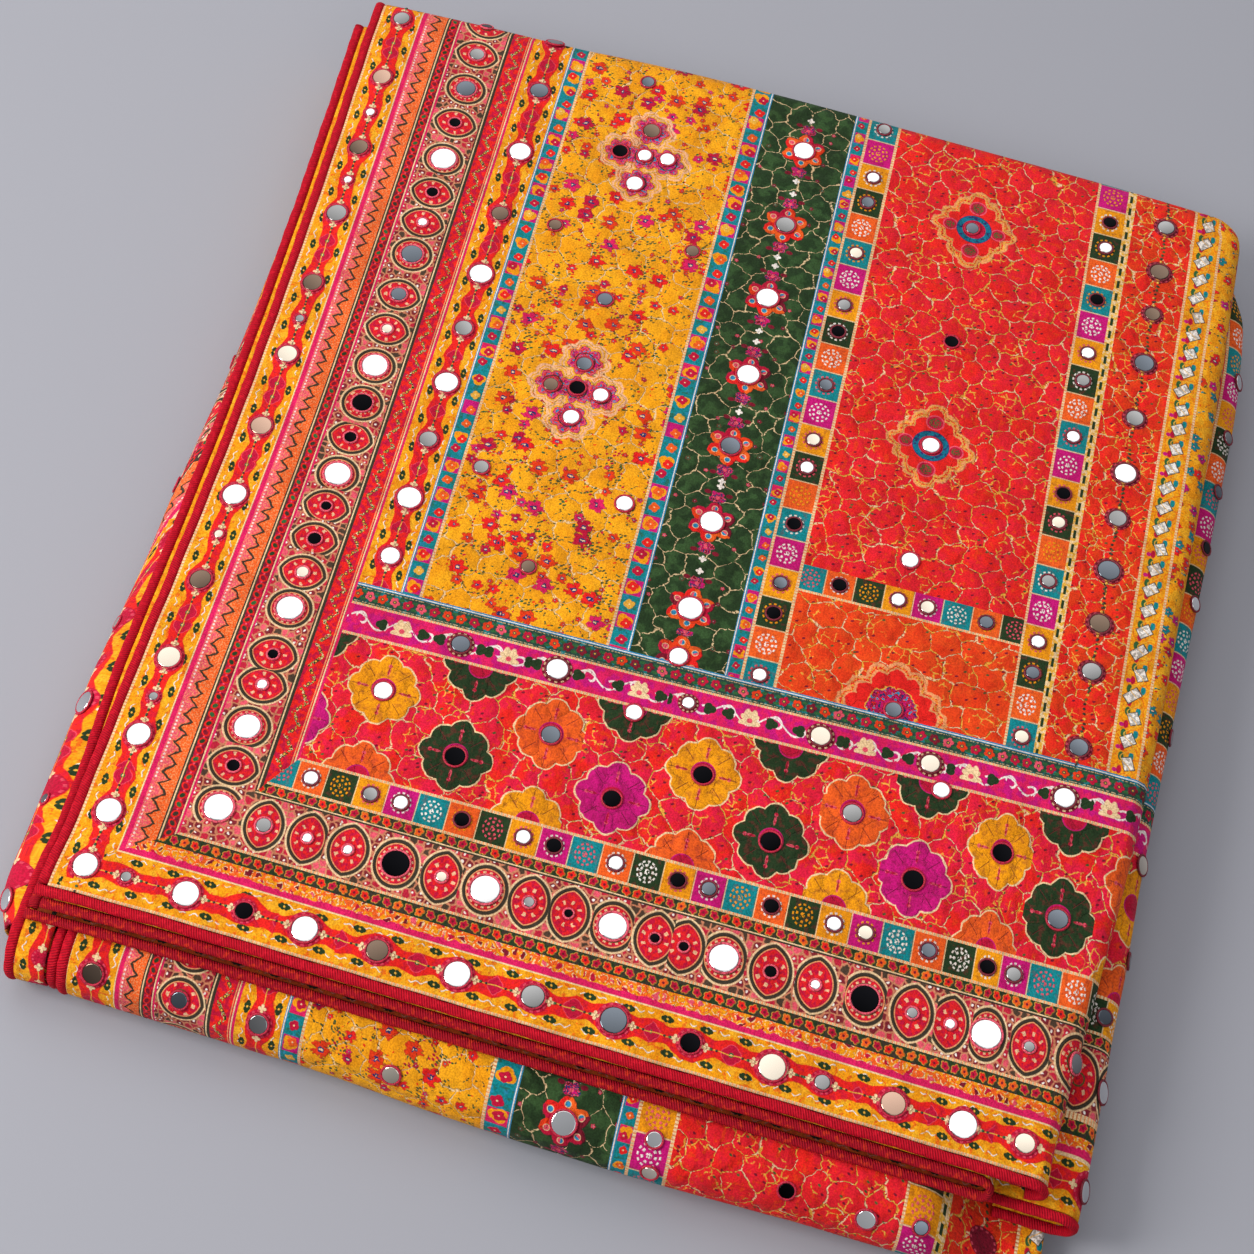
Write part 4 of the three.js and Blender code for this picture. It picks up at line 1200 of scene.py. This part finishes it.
# a grid in (a, b), drawn with the print that printAt gives, then laid by place
def laySheet(name, node, firsts, seconds, place, printAt,
             keep=None, cuts=(), shifts=None, reverse=None):
    form = bmesh.new()
    bmesh.ops.create_grid(form, x_segments=len(firsts) - 1, y_segments=len(seconds) - 1, size=0.5)
    for vert in form.verts:
        i = round((vert.co.x + 0.5) * (len(firsts) - 1))
        j = round((vert.co.y + 0.5) * (len(seconds) - 1))
        vert.co = (firsts[i], seconds[j], 0)
    for (a, b), (c, d) in cuts:
        near = [f for f in form.faces if a - 6 < f.calc_center_median().x < c + 6
                and b - 6 < f.calc_center_median().y < d + 6]
        geom = list({v for f in near for v in f.verts}) + list({e for f in near for e in f.edges}) + near
        bmesh.ops.bisect_plane(form, geom=geom, dist=1e-4, plane_co=(a, b, 0), plane_no=(d - b, a - c, 0))
    if keep:
        gone = [f for f in form.faces if not keep(*f.calc_center_median()[:2])]
        bmesh.ops.delete(form, geom=gone, context="FACES")
    bandMap = form.loops.layers.uv.new("band")
    clothMap = form.loops.layers.uv.new("cloth")
    size = form.faces.layers.float.new("size")
    run = form.faces.layers.float.new("run")
    slots = {}
    for face in form.faces:
        centre = face.calc_center_median()
        p, q = printAt(centre.x, centre.y)
        kind, low, wide, extra, runs = stripeAt(p, q)
        if reverse and kind == "wavyBorder" and reverse(centre.x):
            kind = "shadedBorderBack"
        material = printedCloth(kind, wide)
        face.material_index = slots.setdefault(material.name, len(slots))
        face.smooth = True
        face[run] = runs
        start, pitch = 0.0, 1.0
        shift = shifts.get(extra[0], 0) if shifts and extra else 0
        if len(extra) == 1:
            row = mirrorRows[extra[0]]
            start, face[size] = row[nearest(row, (p if runs else q) + shift)][:2]
        elif len(extra) == 2:
            start, pitch = extra
        for loop in face.loops:
            a, b = printAt(loop.vert.co.x, loop.vert.co.y)
            b += shift
            loop[clothMap].uv = (a, b)
            down, over = (a, b) if runs else (b, a)
            loop[bandMap].uv = ((down - start) / pitch, over - low)
    for vert in form.verts:
        vert.co = settle(place(vert.co.x, vert.co.y))
    bmesh.ops.recalc_face_normals(form, faces=form.faces)
    middle = min(form.faces, key=lambda f: (f.calc_center_median() - outsideOf[name][0]).length)
    if middle.normal.dot(outsideOf[name][1]) < 0:
        bmesh.ops.reverse_faces(form, faces=form.faces)
    made = newPiece(name, form, [bpy.data.materials[n] for n in slots])
    wall = made.modifiers.new("wall", "SOLIDIFY")
    wall.thickness, wall.offset = clothWall * mm, -1
    print(name, len(made.data.polygons))
    return finishPiece(made, "printed cloth", node)


# which way each sheet's printed side faces, near one place
outsideOf = {
    "topCloth": (Vector((0, 0, 0.05)), Vector((0, 0, 1))),
    "innerFoldCloth": (Vector((0, -0.22, 0.046)), Vector((0, 0, 1))),
    "outerFoldCloth": (Vector((0.25, 0, 0.023)), Vector((1, 0, 0))),
    "frontFoldCloth": (Vector((0, -0.28, 0.018)), Vector((0, -1, 0))),
    "leftFoldCloth": (Vector((-0.23, 0, 0.044)), Vector((0, 0, 1))),
    "leftDrapeCloth": (Vector((-0.25, 0, 0.02)), Vector((-1, 0, 0))),
}

longMarks = [one[0] for one in longStripes]
crossMarks = [one[0] for one in crossStripes]


def makeTop():
    first, second = gridPitch["top"]
    over = pi * stack["topRoll"] + 7
    firsts = gridLines([-1] + longMarks, -1, 510, first)
    seconds = gridLines(crossMarks + [235.7, 237, 251, 530], -1, 533 + over, second)

    def keep(p, q):
        u = p - slant(p, q)
        return u < topTurn(q) + over and q < farTurn(u) + over

    return laySheet("topCloth", "top-ply", firsts, seconds, topPlace, lambda p, q: (p, q), keep,
                    list(zip(mitre[1:], mitre[2:])))


def makeInner():
    roll, turn = pi * stack["innerRoll"], innerTurn(0)
    first, second = gridPitch["inner"]
    firsts = gridLines([-20, 0, roll, roll + 20], 3 - turn, roll + turn + 4, first)
    seconds = gridLines([0, 0.06, 0.2], 0, 1, second)

    def place(s, t):
        front = innerFront(s)
        return innerPlace(s, front + (stack["back"] - front) * t)

    def printAt(s, t):
        front = innerFront(s)
        p = s + turn if s < roll / 2 else turn + roll - s
        return p, (stack["back"] - front) * t + 2

    return laySheet("innerFoldCloth", "inner-fold", firsts, seconds, place, printAt,
                    reverse=lambda s: s > roll / 2)


def makeOuter():
    roll = pi * stack["outerRoll"]
    turn = along(outerSide, 0) - stack["outerRoll"]
    first, second = gridPitch["outer"]
    firsts = gridLines([m - 397 for m in longMarks], 412 - turn, roll + turn - 428.5, first)
    seconds = gridLines(crossMarks, -6, 503, second)
    return laySheet("outerFoldCloth", "outer-fold", firsts, seconds, outerPlace,
                    lambda s, v: (397 + s, v + (5 - 5 * clamp(v / 60, 0, 1))))


# places along the front fold, and which p of the print lies there
frontShift = [(16, 0), (38, 22), (67, 58.5), (105, 100.5), (124, 120), (207, 209), (219, 219), (264, 265),
              (289, 289), (390, 397), (406, 413), (452, 459)]

# how far each row of mirrors is moved along the front fold
frontShifts = {"wavyLeft": 1, "circleLeft": 6, "wavyInner": -4, "yellow": 33, "green": 14, "red": 65}


def frontPrint(x, s):
    return straight(frontShift, x), 328 + s


def frontUnprint(p):
    return straight(frontShift, p, 1, 0)


def makeFront():
    first, second, far = gridPitch["front"]
    farRoll = pi * stack["farRoll"]
    firsts = gridLines([frontUnprint(m) for m in longMarks if m < 459], 16, 452, first)
    long = pi * stack["frontRoll"] + stack["base"] + 21 + farRoll
    seconds = gridLines([0, 12, 44, 56, 72], -60, 76, second) + gridLines([540], 76, long, far)[1:]
    # rows are a share of the way, because the roll changes along the front
    span = {x: pi * along(frontTurn, x, 2) + stack["base"] - along(frontTurn, x) + farRoll
            for x in firsts}

    def place(x, s):
        return frontPlace(x, s if s < 0 else s * span[min(span, key=lambda k: abs(k - x))] / long)

    return laySheet("frontFoldCloth", "front-fold", firsts, seconds, place, frontPrint,
                    shifts=frontShifts)


def makeLeft():
    first, second = gridPitch["left"]
    roll = pi * stack["frontRoll"]
    firsts = gridLines([-7, -2], stack["leftEdge"], 5.4, first)
    seconds = gridLines([0, roll], -532, roll + 24, second)
    return laySheet("leftFoldCloth", "left-fold", firsts, seconds, leftPlace,
                    lambda x, s: (x - stack["leftEdge"], 330 - s))


def drapePrint(turn, v):
    reach = 18 * turn + 10 * turn * turn
    if v < 150:
        line = 29 + 0.05 * (150 - v)
    else:
        line = 29 - (v - 150) * 29 / 65
    return max(23 + reach - line, 1.5 + 0.58 * reach), v + (4 if v < 20 else 0)


def makeDrape():
    first, second = gridPitch["drape"]
    firsts = gridLines([1, 2], 0, 2.2, first)
    seconds = gridLines([0], -15, 515, second)

    def printAt(turn, v):
        p, q = drapePrint(turn, v)
        return p, q + 200

    return laySheet("leftDrapeCloth", "left-drape", firsts, seconds, drapePlace, printAt)


# rolled bindings
binding = {"reach": 2.62, "wide": 2.42, "drop": 0.95, "thick": 1.72, "rib": 1.15, "tint": "b8061e",
           "ribGrooveShade": "70021a", "roughness": 0.72, "specular": 0.12}


def satinRib(name, tint, fleck):
    material, shader, start = newMaterial(
        name, Roughness=binding["roughness"], Specular_IOR_Level=binding["specular"])
    length, turn = mapOf(start, "cloth")
    rib = (length + turn * 0.35).wave(binding["rib"])
    tufts = cloudy(length, turn, 2.5, 3)
    # painted shade: the troughs between the ribs are darkened towards the shaded crimson
    colour = paint(dye(tint), dye(binding["ribGrooveShade"]), smooth(rib, 0.1, -0.9) * 0.6)
    colour = paint(colour, dye(fleck), smooth(tufts, 0.5, 0.7) * 0.5)
    dress(shader, colour, rib * 0.16 + tufts * 0.5, 0.9)
    return material


def layRoll(name, node, stations, place, material, sides=14):
    form = bmesh.new()
    bmesh.ops.create_grid(form, x_segments=len(stations) - 1, y_segments=sides, size=0.5)
    clothMap = form.loops.layers.uv.new("cloth")
    for vert in form.verts:
        i = round((vert.co.x + 0.5) * (len(stations) - 1))
        j = round((vert.co.y + 0.5) * sides)
        vert.co = (i, j, 0)
    spots = {}
    for i, s in enumerate(stations):
        wob = 0.12 * math.sin(i * 1.7) + 0.1 * math.sin(i * 0.61)
        for j in range(sides + 1):
            a = 2 * pi * (j % sides) / sides
            out = binding["reach"] + (binding["wide"] + wob) * math.cos(a)
            off = -binding["drop"] + (binding["thick"] + wob * 0.6) * math.sin(a)
            spots[i, j] = settle(place(s, out, off))
    gone = [0.0]
    for i in range(1, len(stations)):
        gone.append(gone[-1] + (spots[i, 0] - spots[i - 1, 0]).length / mm)
    for face in form.faces:
        face.smooth = True
        for loop in face.loops:
            loop[clothMap].uv = (gone[round(loop.vert.co.x)], loop.vert.co.y * 13.5 / sides)
    for vert in form.verts:
        vert.co = spots[round(vert.co.x), round(vert.co.y)]
    bmesh.ops.remove_doubles(form, verts=form.verts, dist=1e-6)
    bmesh.ops.holes_fill(form, edges=[e for e in form.edges if e.is_boundary], sides=0)
    bmesh.ops.recalc_face_normals(form, faces=form.faces)
    made = newPiece(name, form, [material])
    return finishPiece(made, "binding", node)


def makeBindings():
    satin = satinRib("satinRib", binding["tint"], "d8142c")
    # a darker satin for the bindings inside the fold
    darkerSatin = satinRib("innerRib", "a00a1c", "d83a14")
    fine, back = gridPitch["binding"], stack["back"]
    topOver = pi * stack["topRoll"] + 6
    frontEnd = pi * stack["frontRoll"] * 0.89
    outerEdge, frontEdge, leftEdge = -6, 16, stack["leftEdge"]

    def topEnd(p, out, off):
        x, _, z = topPlace(p, -1, off)
        return x, -1 - out, z

    def topEdge(q, out, off):
        _, y, z = topPlace(-1, q, off)
        return -1 - out, y, z

    def innerEnd(s, out, off):
        v = innerFront(s) - out
        x, _, z = innerPlace(s, v, off)
        return x, v, z

    def innerUpper(v, out, off):
        return 3 - out, v, levels["inner"] + off

    def innerLower(v, out, off):
        return -4 - out, v, levels["inner"] - 2 * stack["innerRoll"] - off

    def outerEnd(s, out, off):
        x, _, z = outerPlace(s, outerEdge - out, off)
        return x, outerEdge - out, z

    def frontSide(s, out, off):
        return frontEdge - out, *frontPlace(frontEdge, s, off)[1:]

    def frontInner(s, out, off):
        return 11 - out, *frontPlace(frontEdge, s, off - 1.2)[1:]

    def leftSide(s, out, off):
        return leftEdge - out, *leftPlace(leftEdge, s, off)[1:]

    turn, roll, far = innerTurn(0), pi * stack["innerRoll"], farTurn(-1)
    bend = along(outerSide, outerEdge) - stack["outerRoll"]
    bendEnd = pi * stack["outerRoll"] + bend - 428.5
    rolls = {}
    # each roll: its sheet, its name, its node, its grid lines, its place and its satin
    for sheet, name, node, lines, place, material in (
            ("top", "topEndRoll", "top-end-binding",
             ([], -6, topTurn(0) + topOver, fine), topEnd, satin),
            ("top", "topSideRoll", "top-side-binding",
             ([far], -0.4, far + topOver, fine), topEdge, satin),
            ("inner", "innerEndRoll", "inner-fold-end-binding",
             ([], -2 - turn, roll + turn + 9, fine), innerEnd, darkerSatin),
            ("inner", "innerUpperRoll", "inner-upper-binding",
             ([], -4.4, back, fine), innerUpper, darkerSatin),
            ("inner", "innerLowerRoll", "inner-lower-binding",
             ([], -8.8, back, fine), innerLower, darkerSatin),
            ("outer", "outerEndRoll", "outer-fold-binding",
             ([], 412 - bend, bendEnd, 2.4), outerEnd, satin),
            ("front", "frontEdgeRoll", "front-fold-binding",
             ([0], -60, frontEnd, fine), frontSide, satin),
            ("front", "frontInnerRoll", "front-inner-binding",
             ([0], -60, frontEnd, fine), frontInner, satin),
            ("left", "leftEdgeRoll", "left-fold-binding",
             ([0], -532, frontEnd, fine), leftSide, satin)):
        rolls.setdefault(sheet, []).append(layRoll(name, node, gridLines(*lines), place, material))
    return rolls


# mirrors, their stitched rings and the beads between them
mirrorForm = {"sides": 20, "rise": 0.9, "bevel": 0.35, "ring": 0.55, "tilt": 0.05, "reflectionGradient": 0.45,
              "square": 6.8}

# how far into its stripe each kind's row of mirrors is sewn, and its thread
mirrorLine = {"wavyBorder": (11.4, "crimson"), "circleBand": (13.5, "rose"),
              "greenPanel": (22.5, "crimson"), "mirrorColumn": (17.0, "wine"), "magentaBand": (7.5, "wine")}

# beads on both sides of a mirror: how far from its rim, how wide, which tint
beadLine = {"wavyBorder": ((2.2, 1.7, "cream"), (4.6, 1.5, "leaf"), (7.0, 1.3, "bark")),
            "mirrorColumn": ((2.2, 1.7, "gold"), (4.6, 1.5, "bark"), (7.0, 1.3, "olive"))}

# mirrors on the turned sides: where, how wide, which tone of painted reflection
sideMirrors = {
    "front": ((165, 14, 8, "cream"), (281, 6, 7, "white"), (282, 21, 7, "cream"), (340, 12, 7, "black"),
              (375, 14, 8.5, "white"), (398, 10, 6.5, "steel")),
    "outer": ((11, 7, 9.5, "white"), (10, 50, 10, "white"), (3, 79, 7, "steel"), (9, 150, 9, "cream"),
              (13, 108, 7, "black"), (12, 222, 7, "grey"), (8, 300, 7, "white"), (8, 335, 6.5, "black"),
              (9, 372, 6.5, "steel"), (8, 407, 6.5, "grey"), (10, 446, 8, "white")),
    "drape": ((0.62, -4, 10, "white"), (0.52, 95, 11, "white"), (0.56, 46, 5, "grey"),
              (0.6, 140, 6, "cream"), (0.7, 222, 7, "steel"), (0.75, 300, 6, "grey"))}


def mirrorGlass():
    material, shader, start = newMaterial("mirrorGlass", Metallic=1.0, Roughness=0.07)
    # painted reflection: the glass's base colour is its tone, lighter or darker mirror by mirror
    dress(shader, start.make("ShaderNodeAttribute", {"attribute_name": "tone"}, {}))
    return material


def stitchThread():
    material, shader, start = newMaterial("stitchThread", Roughness=0.7)
    tone = start.make("ShaderNodeAttribute", {"attribute_name": "tone"}, {})
    spot = start.make("ShaderNodeTexCoord", {}, {}, 3)
    fluff = start.make("ShaderNodeTexNoise", {}, {"Vector": spot, "Scale": 1600.0, "Detail": 2.0})
    dress(shader, shade(tone, dye("8c6a60"), smooth(fluff, 0.4, 0.7)))
    return material


# where something is sewn: its centre, one direction along the cloth, and the way out of it
def seatAt(place, a, b, step=1.0, lift=0.1):
    centre = settle(place(a, b, lift))
    east = settle(place(a + step, b, lift)) - settle(place(a - step, b, lift))
    north = settle(place(a, b + 1, lift)) - settle(place(a, b - 1, lift))
    east.normalize()
    normal = east.cross(north).normalized()
    if normal.dot(settle(place(a, b, lift + 2)) - centre) < 0:
        normal.negate()
    return centre, east, normal


def seatMatrix(centre, east, normal, tilt=0.0):
    normal = (normal + Vector([random.uniform(-tilt, tilt) for _ in range(3)])).normalized()
    east = (east - normal * east.dot(normal)).normalized()
    return Matrix.Translation(centre) @ Matrix((east, normal.cross(east), normal)).transposed().to_4x4()


# seats: (where, how wide, tone of the painted reflection, thread)
def setGlass(name, seats, glass):
    form = bmesh.new()
    tone = form.verts.layers.float_color.new("tone")
    rise, tops = mirrorForm["rise"] * mm, []
    for seat, size, toneName, _ in seats:
        matrix = seatMatrix(*seat, mirrorForm["tilt"]) @ Matrix.Translation((0, 0, rise / 2 - 0.0001))
        turn, tint, r = matrix.to_3x3(), paintedReflections[toneName], size * mm / 2
        made = bmesh.ops.create_cone(form, cap_ends=True, segments=mirrorForm["sides"], radius1=r,
                                     radius2=r * 0.97, depth=rise, matrix=matrix)
        # painted reflection: each mirror's colour is made lighter towards one side and darker towards the
        # other, along way
        way = seat[1] * random.uniform(-0.7, 0.7) + (turn @ Vector((0, 1, 0))) * random.uniform(0.4, 1)
        for vert in made["verts"]:
            reflectionGradient = 1 + mirrorForm["reflectionGradient"] * (1.15 - tint[1]) * (vert.co - seat[0]).dot(way) / r
            vert[tone] = (*[min(1, v * reflectionGradient) for v in tint], 1)
        caps = {f for v in made["verts"] for f in v.link_faces if len(f.verts) > 4}
        tops += [f for f in caps if f.normal.dot(turn @ Vector((0, 0, 1))) > 0.5]
    rims = list({e for f in tops for e in f.edges})
    bmesh.ops.bevel(form, geom=rims, offset=mirrorForm["bevel"] * mm, segments=2, profile=0.5,
                    affect="EDGES", material=-1)
    for face in form.faces:
        face.smooth = len(face.verts) < 5
    return finishPiece(newPiece(name + "Mirrors", form, [glass]), "printed cloth")


# beads: (where, how wide, tint)
def sewRings(name, seats, beads, thread):
    form = bmesh.new()
    tone = form.verts.layers.float_color.new("tone")
    tube = mirrorForm["ring"] * mm
    for seat, size, _, _ in seats:
        matrix = seatMatrix(*seat)
        out = Matrix.Translation((size * mm / 2 + tube * 0.6, 0, tube * 0.5))
        made = bmesh.ops.create_circle(form, segments=6, radius=tube,
                                       matrix=matrix @ out @ Matrix.Rotation(pi / 2, 4, "X"))
        ring = made["verts"] + list({e for v in made["verts"] for e in v.link_edges})
        bmesh.ops.spin(form, geom=ring, cent=matrix.translation, angle=2 * pi, steps=24,
                       axis=matrix.to_3x3() @ Vector((0, 0, 1)), use_merge=True)
    bmesh.ops.recalc_face_normals(form, faces=form.faces)
    for seat, size, _ in beads:
        bmesh.ops.create_icosphere(form, subdivisions=1, radius=size * mm / 2,
                                   matrix=seatMatrix(*seat) @ Matrix.Diagonal((1, 1, 0.7, 1)))
    for face in form.faces:
        face.smooth = True
    # each point takes the tint of the ring or bead that it lies nearest to
    centres = [(seat[0], dyes[threadName], size) for seat, size, _, threadName in seats]
    centres += [(seat[0], dyes[tint], size) for seat, size, tint in beads]
    tree = kdtree.KDTree(len(centres))
    for i, (at, _, _) in enumerate(centres):
        tree.insert(at, i)
    tree.balance()
    for vert in form.verts:
        reach = tree.find_n(vert.co, 4)
        best = min(reach, key=lambda found: abs(found[2] / mm - centres[found[1]][2] / 2))
        vert[tone] = centres[best[1]][1]
    return finishPiece(newPiece(name + "Stitches", form, [thread]), "binding")


# the mirrors of every row in one table of stripes: (p, q, how wide, tone of the painted reflection, thread,
# kind, run)
def rowsOn(stripes, run):
    low = -1.0
    for one in stripes:
        if len(one) == 3 and one[2] not in ("yellow", "red", "flowers"):
            inset, stitch = mirrorLine[one[1]]
            for at, size, tone in mirrorRows[one[2]]:
                if size:
                    p, q = (at, low + inset) if run else (low + inset, at)
                    yield p, q, size, tone, stitch, one[1], run
        low = one[0]


# the small mirrors on a row of printed squares
def squareMirrors(first, middle, start, pitch, count, run, kind="squaresBand"):
    # the tones of the painted reflections, in turn
    reflectionTones = ["white", "black", "steel", "cream", "grey", "white", "black"]
    for k in range(count):
        if k % 5 in (0, 2, 3):
            at = start + pitch * k
            p, q = (at, middle) if run else (middle, at)
            yield p, q, mirrorForm["square"], reflectionTones[(k * 3 + first) % 7], "wine", kind, run


# whether a mirror planned at a place is on the top stretch and on its own stripe
def isSewn(p, q, kind, run):
    if p - slant(p, q) > topTurn(q) + 12 or q > 540:
        return False
    if kind in ("spot", "bar"):
        return True
    stripe = stripeAt(p, q)
    return stripe[0] == kind and stripe[4] == run and not (kind == "squaresBand" and q < 88 and p < 96)


def sideSeats(group, place, stitch, step=1.0):
    return [(seatAt(place, a, b, step), size, tone, stitch) for a, b, size, tone in sideMirrors[group]]


def makeMirrors():
    planned = [
        *rowsOn(longStripes, 0), *rowsOn(crossStripes, 1),
        *[(*spot, "crimson", "spot", 0) for spot in mirrorSpots],
        *squareMirrors(0, 280.8, 185, 17.35, 21, 0), *squareMirrors(3, 404.6, 187, 17.9, 20, 0),
        *squareMirrors(5, 79.1, 96.1, 14.15, 25, 1), *squareMirrors(1, 244, 308, 14.1, 6, 1, "bar")]
    seats, beads = [], []
    for p, q, size, tone, stitch, kind, run in planned:
        if not isSewn(p, q, kind, run):
            continue
        seats.append((seatAt(topPlace, p, q), size, tone, stitch))
        for way in (-1, 1):
            for reach, wide, tint in beadLine.get(kind, ()):
                step = way * (size / 2 + reach)
                a, b = (p + step, q) if run else (p, q + step)
                if -1 < b < 540 and a < topTurn(q):
                    beads.append((seatAt(topPlace, a, b), wide, tint))
    rows = []
    for row, p in (("wavyLeft", 11.6), ("circleLeft", 59.5), ("wavyInner", 99.4), ("green", 242.5)):
        for at, size, tone in mirrorRows[row]:
            s = at - 328 - frontShifts.get(row, 0)
            if 2 < s < 34:
                rows.append((seatAt(frontPlace, frontUnprint(p), s), size * 0.95, tone, "crimson"))
    glass, thread = mirrorGlass(), stitchThread()
    groups = {}
    for name, sewn, beaded in (
            ("top", seats, beads),
            ("front", rows + sideSeats("front", frontPlace, "crimson"), []),
            ("outer", sideSeats("outer", outerPlace, "wine"), []),
            ("drape", sideSeats("drape", drapePlace, "crimson", 0.04), [])):
        groups[name] = [setGlass(name, sewn, glass), sewRings(name, sewn, beaded, thread)]
    return groups


# the layers inside, which show only as edges, with painted shade in the lines between them
innerLayers = {"pitch": 2.6, "tints": ("wine", "orange", "crimson", "marigold", "red")}


def makeInside():
    material, shader, start = newMaterial("innerPlies", Roughness=0.85)
    spot = start.make("ShaderNodeSeparateXYZ", {}, {0: start.make("ShaderNodeTexCoord", {}, {}, 3)})
    x, y, z = (Wire(spot.socket.node.outputs[i]) * (1 / mm) for i in range(3))
    level = z + cloudy(x, y, 30, 1) * 3
    # painted shade: a dark line where one ply meets the next, also sunk a little by the bump
    shadedPlyGap = smooth(abs(level.wrap(innerLayers["pitch"])), 0.9, 1.3)
    colour = cycle(level.index(innerLayers["pitch"]), 0, innerLayers["tints"])
    dress(shader, shade(colour, dye("402020"), shadedPlyGap), shadedPlyGap * -0.8 + cloudy(x, z, 2) * 0.3)
    form = bmesh.new()
    form.from_mesh(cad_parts["hidden-layers"].data)
    bmesh.ops.remove_doubles(form, verts=form.verts, dist=1e-5)
    for vert in form.verts:
        vert.co.z = max(vert.co.z, 0.0022)
    made = newPiece("innerPlies", form, [material])
    return finishPiece(made, "inner cloth", "hidden-layers")


def makeFloor():
    form = bmesh.new()
    bmesh.ops.create_grid(form, x_segments=2, y_segments=2, size=12)
    for vert in form.verts:
        vert.co.z = -0.0004
    material, shader, _ = newMaterial("table", Roughness=0.7)
    shader.inputs["Base Color"].default_value = (*floorTint, 1)
    newPiece("table", form, [material])


setCamera()
setLights()
makeFloor()
print("stage set")
top, inner, outer, front, left, drape = (
    makeTop(), makeInner(), makeOuter(), makeFront(), makeLeft(), makeDrape())
print("cloth laid")
rolls = makeBindings()
print("bindings rolled")
mirrors = makeMirrors()
print("mirrors set")
makeInside()

for sheet, flat, sewn in (
        (top, (0.50, 0.57), rolls["top"] + mirrors["top"]),
        (inner, (0.85, 0.052), rolls["inner"]),
        (outer, (0.116, 0.51), rolls["outer"] + mirrors["outer"]),
        (front, (0.436, 0.70), rolls["front"] + mirrors["front"]),
        (left, (0.014, 0.61), rolls["left"]),
        (drape, (0.055, 0.53), mirrors["drape"])):
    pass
